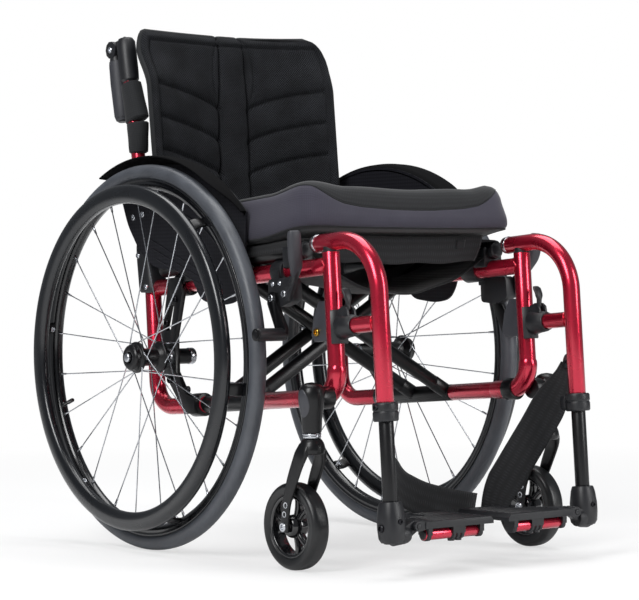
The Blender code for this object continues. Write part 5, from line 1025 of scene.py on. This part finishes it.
def footplate(name, s):
    """Composite platform half, the red bar under it with ribbed clamps round it, and raised treads on top.

    The platform is the solid with rounded edges, and bar, ribs and treads are pipes across the chair.
    """
    body = "footplate_" + name
    softened("platform_" + name, "footplate_" + name, moulded_nylon, body, 0.0016, 3)
    pipe("platform_bar_" + name, [world(s * a, HINGE_Y, BAR_Z) for a in (0.1345, 0.0310)], 0.0084, candy_red,
         body, normal=UP, sides=32)
    clamps = []
    for place, wide in ((0.1290, 0.0092), (0.0755, 0.0240), (0.0330, 0.0092)):
        count = 3 if wide > 0.02 else 1
        for k in range(count):
            middle = place + (k - (count - 1) / 2) * wide / count
            half = wide / count / 2 * 0.86
            clamps.append(pipe("rib", [world(s * (middle + a * half), HINGE_Y, BAR_Z + 0.001)
                                       for a in (-1, -0.6, 0.6, 1)], [0.0092, 0.0104, 0.0104, 0.0092],
                               moulded_nylon, body, normal=UP, sides=28, power=2.8, ends=0.0008))
    joined("platform_clamps_" + name, *clamps)
    lines = [pipe("line", [world(s * a, y, PLATE_TOP + 0.0001)
                           for a in (0.024, 0.122 if y < -0.470 else 0.086)], 0.0011, moulded_nylon, body,
                  0.0007, normal=UP, sides=8, ends=0.0004) for y in np.linspace(-0.520, -0.438, 8)]
    joined("platform_treads_" + name, *lines)


# Cross-brace

def cross_brace():
    """Two pairs of oval struts that cross at the bolt, each from a low sleeve to a high seat tube.

    Each strut is a superellipse along the line from its sleeve's middle to its seat tube's.
    """
    middle = (LOWER_W + SEAT_W) / 2
    for letter, s in (("a", -1), ("b", 1)):
        body = "arm_" + letter
        low_x, high_x = s * FRAME_X, -s * FRAME_X
        parts = []
        for u in ARM_U:
            u += ARM_STAGGER if s > 0 else 0
            low, high = at(low_x, u, LOWER_W), at(high_x, u, SEAT_W)
            parts.append(pipe("part", [low, high], 0.0092, black_tube, body, 0.0106, normal=ALONG, sides=32,
                              power=2.4))
            parts += [pipe("part", [low + (high - low) * a, low + (high - low) * (a + 0.075)], 0.0098,
                           black_tube, body, 0.0112, normal=ALONG, sides=32, power=2.4)
                      for a in (0.008, 0.917)]
        sleeve = at(low_x, np.array((SLEEVE_U[0] + 0.0008, SLEEVE_U[1] - 0.0008)), LOWER_W)
        parts.append(pipe("part", sleeve, TUBE_R * 1.01, black_tube, body, sides=36))
        tube = at(high_x, np.array(SEAT_U), SEAT_W)
        parts.append(pipe("part", tube, TUBE_R, black_tube, body, sides=36))
        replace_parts(joined("cross_strut_" + letter, *parts), "cross_arm_" + letter)
        caps = [turned("cap", filleted([(0.0003, -0.002), (0.0095, -0.0016), (0.0126, 0.0010),
                                        (0.0131, 0.0045), (0.0120, 0.006), (0.0003, 0.006)], 0.001, 3), end,
                       way, moulded_nylon, body, 32) for end, way in ((tube[0], ALONG), (tube[1], -ALONG))]
        joined("seat_tube_plugs_" + letter, *caps)
    last = ARM_U[1] + ARM_STAGGER + 0.009
    screw("cross_bolt_front", at(0, last + 0.0012, middle), ALONG, 0.0082, 0.0050, stainless, "arm_a")
    screw("cross_bolt_rear", at(0, ARM_U[0] - 0.009 - 0.0012, middle), -ALONG, 0.0082, 0.0050, stainless,
          "arm_a")
    turned("cross_washer", filleted([(0.0045, 0.0), (0.0125, 0.0), (0.0125, 0.0014), (0.0045, 0.0014)],
                                    0.0004, 2, True), at(0, last + 0.0001, middle), ALONG, moulded_nylon,
           "arm_a", 36, True)


# Seat cloth, cushion and back

def seat_sling():
    """Nylon cloth over both seat tubes, the band and pouch that hang under it, and the band's two patches.

    The cloth wraps round each tube by an arc and sags between them by a squared cosine. The pouch's sag is
    one minus a power of the place across, and it deepens to the front.
    """
    t = np.linspace(-1, 1, 81)
    u = np.linspace(SEAT_U[0] + 0.008, SEAT_U[1] - 0.004, 33)[:, None]
    wrap = np.clip((np.abs(t) - 0.90) / 0.10, 0, 1)
    flat = np.clip(np.abs(t) / 0.90, 0, 1)
    x = np.sign(t) * (FRAME_X * flat + 0.0138 * np.sin(wrap * 1.9))
    top = SEAT_W + TUBE_R + 0.0030
    w = top - 0.0135 * (1 - np.cos(wrap * 1.9)) - 0.0075 * np.cos(flat * np.pi / 2) ** 2
    ripple = 0.0006 * np.sin(18 * t + 40 * u) * (1 - wrap)
    cloth = surface("seat_cloth", at(x[None, :], u, w[None, :] + ripple), nylon_band, "arm_a",
                    replaces=("seat_sling",))
    thicken(cloth, 0.0020)
    t, v = np.linspace(-1, 1, 61)[:, None], np.linspace(0, 1, 9)[None, :]
    band = surface("seat_front_band", band_points(t, v, -0.004, 0.0012 * np.sin(9 * t) * v), nylon_band,
                   "arm_a")
    thicken(band, 0.0024)
    patches = [surface("patch", band_points(np.linspace(place - 0.055, place + 0.055, 7)[:, None],
                                            np.linspace(0.16, 0.50, 5)[None, :], -0.0020), piping, "arm_a")
               for place in (-0.78, 0.72)]
    patches = joined("seat_band_patches", *patches)
    thicken(patches, 0.0010)
    u = np.linspace(SEAT_U[0] + 0.03, SEAT_U[1] - 0.010, 25)[:, None]
    t = np.linspace(-1, 1, 61)[None, :]
    sag = 0.058 * (1 - np.abs(t) ** 2.2) * (0.35 + 0.65 * smooth_step((u - 0.02) / 0.30))
    pouch = at((FRAME_X - 0.012) * t * (1 - 0.10 * (1 - np.abs(t))), u,
               SEAT_W - 0.006 - sag + 0.0018 * np.sin(11 * t + 30 * u) * (1 - t ** 2))
    hammock = surface("under_seat_hammock", pouch, nylon_band, "arm_a")
    thicken(hammock, 0.0016)
    for piece in (cloth, band, patches, hammock):
        tuple(at(FRAME_X, 0.15, SEAT_W))
        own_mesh(piece)


def band_points(t, v, ahead, ripple=0.0):
    """Points on the band under the cushion's front: t across it from -1 to 1, and v down it from 0 to 1.

    It narrows evenly downwards, bellies forward by a sine and hangs in the middle by a cosine.
    """
    return at((BAND_HALF - BAND_TAPER * v) * t, SEAT_U[1] + ahead + 0.0030 * np.sin(np.pi * v),
              BAND_TOP_W - 0.0040 * np.cos(t * np.pi / 2) - BAND_DROP * v + ripple)


def thicken(piece, amount):
    """Gives a sheet its thickness, half of it on each face."""
    wall = piece.modifiers.new("thickness", "SOLIDIFY")
    wall.thickness, wall.offset, wall.use_even_offset = amount, 0.0, False


def cushion():
    """Foam cushion: superellipse loops climb a bulging border to a seam, whose height dips along the front.

    They close over a crown that is dished behind, by a cosine along the seat, and raised at its two front
    corners. The corners get rounder towards the middle of the crown, as the loops' power falls.
    """
    columns = 200
    angle = turns(columns, 0.5)
    half_x, half_u = CUSHION_WIDTH / 2, (CUSHION_U[1] - CUSHION_U[0]) / 2
    middle = (CUSHION_U[1] + CUSHION_U[0]) / 2
    x9, v9 = superellipse(angle, 9.0)
    front = smooth_step((v9 - 0.72) / 0.26)
    dipped = np.interp(np.abs(x9), [0, 0.2, 0.5, 0.65, 0.78, 0.9, 1.0],
                       [0.0385, 0.0390, 0.0425, 0.0470, 0.0560, 0.0635, 0.0655])
    seam = CUSHION_SEAM - front * (CUSHION_SEAM - dipped)
    heights = np.array((0.0, 0.0020, 0.0060, 0.0140, 0.0240, 0.0340, 0.0450, 0.0560, 0.0630, 0.0665, 0.0680))
    insets = np.array((0.0100, 0.0020, -0.0025, -0.0035, -0.0028, -0.0010, 0.0008, 0.0026, 0.0056, 0.0098,
                       0.0150))
    below = np.concatenate([np.linspace(0, 0.94, 15), [0.975, 1.0]])
    above = np.concatenate([[0.03], np.linspace(0.10, 1.0, 12)])

    def lift(x, v, h):
        """How far the crown stands above height h: its top 18 mm rise. v is -1 behind and 1 in front."""
        top = np.clip((h - 0.050) / 0.018, 0, 1)
        dish = top * (0.5 - 0.5 * np.cos(np.pi * np.clip((v + 1) / 2, 0, 1)))
        rise = top * 0.012 * (0.35 * dish - 0.25 * (1 - dish) * (1 - np.abs(x)))
        thighs = top * dish * 0.0015 * np.cos(2 * np.pi * x / 1.05)
        corners = top * 0.0110 * smooth_step((np.abs(x) - 0.62) / 0.34) * smooth_step((v - 0.52) / 0.42)
        return rise - thighs + corners

    def ring(h, extra, power, low=0.0):
        """Loop at height h, drawn in by its inset. low, from 0 to 1, raises its front by up to 10 mm."""
        x, v = superellipse(angle, power)
        inset = np.interp(h, heights, insets) + extra
        raised = low * 0.0100 * smooth_step((v * (half_u - inset) / half_u - 0.40) / 0.50)
        return at(x * (half_x - inset), middle + v * (half_u - inset),
                  CUSHION_BASE + h + raised + lift(x, v, h))

    crease = 0.0010 * np.exp(-((np.abs(x9) - 0.93) / 0.05) ** 2) * (v9 > 0.5)
    soft = 0.0005 * np.sin(7 * angle) + 0.0004 * np.sin(13 * angle + 1.1)
    rows = [ring(np.zeros(columns), 0.120, 4.0, 1.0), ring(np.zeros(columns), 0.040, 9.0, 1.0)]
    for k in below:
        bulge = (crease + soft - 0.0013) * np.sin(np.pi * k)
        rows.append(ring(seam * k, bulge + (0.0012 if k == 1.0 else 0.0005 if k > 0.97 else 0.0), 13.0,
                         1 - k))
    border_rows = len(rows) - 1
    for k in above:
        h = seam + (CUSHION_HEIGHT - seam) * k
        rows.append(ring(h, 0.0006 if k < 0.05 else -0.0006 * math.sin(math.pi * k), 13.0 - 4.0 * k))
    for shrink, power in ((0.010, 8.0), (0.026, 6.5), (0.050, 5.5), (0.080, 4.5), (0.115, 3.5), (0.150, 2.6),
                          (0.180, 2.0)):
        x, v = superellipse(angle, power)
        inset = insets[-1] + shrink * 0.95
        rise = 0.0062 * math.sin(min(1.0, shrink / 0.09) * math.pi / 2)
        x, v = x * (half_x - inset) / half_x, v * (half_u - inset) / half_u
        rows.append(at(x * half_x, middle + v * half_u,
                       CUSHION_BASE + CUSHION_HEIGHT + rise + lift(x, v, np.full(columns, CUSHION_HEIGHT))))
    grid = np.array(rows)
    level = np.arange(len(grid) - 1)
    masks = np.repeat(((level >= border_rows) | (level < 3)).astype(int)[:, None], columns, 1)
    made = surface("cushion_cover", grid, [border_knit, top_knit], "cushion", ring=True, closed_ends=True,
                   sharp=70, replaces=("seat_cushion",), masks=masks)
    edge = joined("cushion_piping", seam_cord("seam", grid[border_rows], 0.0013),
                  seam_cord("seam", grid[3], 0.0016))
    for piece in (made, edge):
        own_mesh(piece)


def seam_cord(name, line, radius, body="cushion", finish=piping):
    """Thin welt along a closed line of points: a circle in the plane across it at each."""
    step = unit(np.roll(line, -1, 0) - np.roll(line, 1, 0))
    side = unit(np.cross(step, ACROSS))
    up = np.cross(side, step)
    angle = turns(8)
    grid = line[:, None] + radius * (side[:, None] * np.cos(angle)[:, None]
                                     + up[:, None] * np.sin(angle)[:, None])
    return surface(name, grid, finish, body, ring=True, loop=True, sharp=80)


def back():
    """Padded back: a front sheet that puffs between seams, a rear sheet over the canes, and a binding.

    s runs up the pad and t across it. The front lies centre deep in the middle and ahead at its edges, by a
    power of t. Each seam is a Gaussian groove, narrow in a wide one: three arcs on each side, the lanes
    beside the middle strip, their wings at the top, and the hem all round.
    """
    across, up = 220, 160
    low, high = BACK_UP
    s = np.linspace(0, 1, up)[:, None]
    t = np.linspace(-1, 1, across)[None, :]
    height = low + (high - low) * s
    over = np.clip(height - (high - BACK_CORNER), 0, BACK_CORNER)
    inset = BACK_CORNER - np.sqrt(np.maximum(0.0, BACK_CORNER ** 2 - over ** 2))
    half = BACK_HALF - 0.0005 - inset * np.where(t < 0, 0.30, 1.0) - 0.003 * (1 - s)
    ahead = 0.0416 + 0.072 * height - np.where(t < 0, 0.024, 0.014) * smooth_step((height - 0.295) / 0.075)
    centre = np.maximum(-0.0166 + 0.1327 * height, -0.0050)
    a = np.abs(t)
    outer = np.clip((a - 0.13) / 0.87, 0, 1)
    groove = np.zeros_like(a * s)
    for k in range(3):
        place = 0.643 - 0.155 * k + 0.098 * np.sin(outer * np.pi / 2) ** 0.65
        depth = 0.0052 * np.exp(-((s - place) / 0.009) ** 2) + 0.0030 * np.exp(-((s - place) / 0.034) ** 2)
        groove = groove + depth * smooth_step((a - 0.12) / 0.05) * smooth_step((0.925 - a) / 0.02)
    lane = 0.162 - 0.026 * smooth_step((s - 0.55) / 0.40)
    strip = 0.0050 * np.exp(-((a - lane) / 0.010) ** 2) + 0.0022 * np.exp(-((a - lane) / 0.035) ** 2)
    wing = lane + 0.085 * np.sin(np.clip((s - 0.66) / 0.34, 0, 1) * np.pi) ** 0.8
    strip = strip + 0.0032 * np.exp(-((a - wing) / 0.013) ** 2) * smooth_step((s - 0.68) / 0.06)
    rim_place = np.minimum((1 - a) * BACK_HALF, (1 - s) * (high - low))
    from_hem = rim_place - BACK_HEM
    hem = 0.0032 * np.exp(-(from_hem / 0.0022) ** 2) + 0.0014 * np.exp(-(from_hem / 0.008) ** 2)
    edge = np.clip(np.minimum(np.minimum((1 - a) / 0.045, (1 - s) / 0.035), s / 0.04), 0, 1)
    dip = 0.45 * BACK_THICK * (1 - np.sin(np.pi / 2 * edge) ** 0.8)
    wrinkle = 0.0006 * np.sin(23 * s + 6 * t) * np.sin(17 * t - 5 * s) * edge
    n = centre + (ahead - centre) * a ** 1.9 - dip - groove - strip - hem + wrinkle
    front = on_cane(half * t, height, n)
    flat = np.minimum(BACK_REAR - 0.010 * (1 - t * t), centre - 0.0150 + 0.030 * t * t)
    corner_share = smooth_step((a - 0.86) / 0.12)
    rear = on_cane(half * t * 0.999, height * np.ones_like(t),
                   flat + (ahead - BACK_THICK - flat) * corner_share)
    ring_front = np.concatenate([front, rear[:, ::-1]], 1)
    made = surface("back_pad", ring_front, back_mesh, "frame_right", ring=True, closed_ends=True, sharp=60,
                   replaces=("back_upholstery",))
    line = np.concatenate([front[:, 0], front[-1, 1:], front[::-1, -1][1:], front[0, ::-1][1:-1]])
    line = line - CANE_FRONT * 0.0035
    bind = seam_cord("back_binding", line[::2], 0.0042, "frame_right", edge_knit)
    for piece in (made, bind):
        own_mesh(piece)


def calf_strap(name, s):
    """Slack webbing from the collar inwards: its centreline is filleted, and its face turns with it.

    Its width is read off along the run, and it is cupped by a square across, with a slow sine along it. The
    far one hangs steeply from its hook on the tube above the collar.
    """
    path = filleted(CALF_PATHS[name], 0.020, 8)
    step = unit(np.gradient(path, axis=0))
    out = unit(np.cross(step, UP))
    wide = np.cross(out, step)
    run = lengths(path[:, None])
    half = np.interp(run / run[-1], *CALF_HALVES[name])
    k = np.linspace(-1, 1, 13)
    cup = 0.0010 * (1 - k ** 2)[None, :] + 0.0006 * np.sin(run * 90)[:, None] * k[None, :]
    grid = (path[:, None] + wide[:, None] * (half[:, None] * k)[..., None]
            + out[:, None] * (cup + 0.0009)[..., None])
    grid = world(s * grid[..., 0], grid[..., 1], grid[..., 2])
    made = surface("calf_band_" + name, grid, nylon_band, "hanger_" + name, replaces=("calf_strap_" + name,))
    thicken(made, 0.0018)
    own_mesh(made)
    if name == "left":
        hook = [world(0.1850, -0.4790, 0.2950), world(0.1900, -0.4700, 0.2940),
                world(0.1955, -0.4625, 0.2890), world(0.1955, -0.4622, 0.2780)]
        pipe("calf_hook_" + name, filleted(hook, 0.005), 0.0042, moulded_nylon, "hanger_" + name, 0.0060,
             sides=20, power=3.0)


# Stage and light

def stage():
    """Pale floor that fades to white with distance, a world the camera sees white, and three lamps."""
    made = bpy.data.materials.new("pale_studio_floor")
    made.use_nodes = True
    tree = made.node_tree
    tree.nodes.clear()
    place = node(tree, "ShaderNodeTexCoord")
    far = node(tree, "ShaderNodeVectorMath", {0: (place, "Object")}, operation="LENGTH")
    fade = node(tree, "ShaderNodeMapRange", {"Value": (far, "Value"), "From Min": 0.8, "From Max": 2.2,
                                             "To Min": 0.60})
    ray = node(tree, "ShaderNodeLightPath")
    share = node(tree, "ShaderNodeMath", {0: (ray, "Is Camera Ray"), 1: (fade, 0)}, operation="MULTIPLY")
    matt = node(tree, "ShaderNodeBsdfDiffuse", {"Color": colour("#f4f4f4")})
    glow = node(tree, "ShaderNodeEmission", {"Color": (1, 1, 1, 1), "Strength": 1.0})
    both = node(tree, "ShaderNodeMixShader", {0: (share, 0), 1: (matt, 0), 2: (glow, 0)})
    node(tree, "ShaderNodeOutputMaterial", {"Surface": (both, 0)})
    mesh = bpy.data.meshes.new("floor")
    reach, depth = 40, -0.0005
    mesh.from_pydata([(-reach, -reach, depth), (reach, -reach, depth), (reach, reach, depth),
                      (-reach, reach, depth)], [], [(0, 1, 2, 3)])
    mesh.materials.append(made)
    floor = bpy.data.objects.new("floor", mesh)
    bpy.context.scene.collection.objects.link(floor)
    room = bpy.data.worlds.new("studio")
    room.use_nodes = True
    tree = room.node_tree
    tree.nodes.clear()
    ray = node(tree, "ShaderNodeLightPath")
    seen = node(tree, "ShaderNodeMath", {0: (ray, "Is Camera Ray"), 1: (ray, "Is Transmission Ray")},
                operation="MAXIMUM")
    dim = node(tree, "ShaderNodeBackground", {"Color": (0.90, 0.94, 1.0, 1), "Strength": 0.20})
    shown = node(tree, "ShaderNodeBackground", {"Color": (1, 1, 1, 1), "Strength": 1.0})
    both = node(tree, "ShaderNodeMixShader", {0: (seen, 0), 1: (dim, 0), 2: (shown, 0)})
    node(tree, "ShaderNodeOutputWorld", {"Surface": (both, 0)})
    bpy.context.scene.world = room
    for name, place, size, power, target in (
            ("key", (-3.2, -1.2, 2.6), (1.4, 2.2), 112, (0, 0, 0.35)),
            ("fill", (1.6, -3.4, 1.6), (0.9, 2.2), 62, (0, 0, 0.35)),
            ("top", (0.2, 0.4, 3.2), (2.4, 2.4), 74, (0, 0, 0.3))):
        lamp = bpy.data.lights.new(name, "AREA")
        lamp.shape, lamp.size, lamp.size_y, lamp.energy = "RECTANGLE", size[0], size[1], power
        holder = bpy.data.objects.new(name, lamp)
        holder.location = place
        holder.rotation_mode = "QUATERNION"
        holder.rotation_quaternion = (Vector(target) - Vector(place)).to_track_quat("-Z", "Y")
        bpy.context.scene.collection.objects.link(holder)
    bpy.context.scene.view_settings.view_transform = "Standard"


camera()
for name, side in SIDES.items():
    rear_wheel(name, side)
    castor(name, side)
    side_frame(name, side)
    push_handle(name, side)
    hanger(name, side)
    calf_strap(name, side)
cross_brace()
seat_sling()
cushion()
back()
stage()
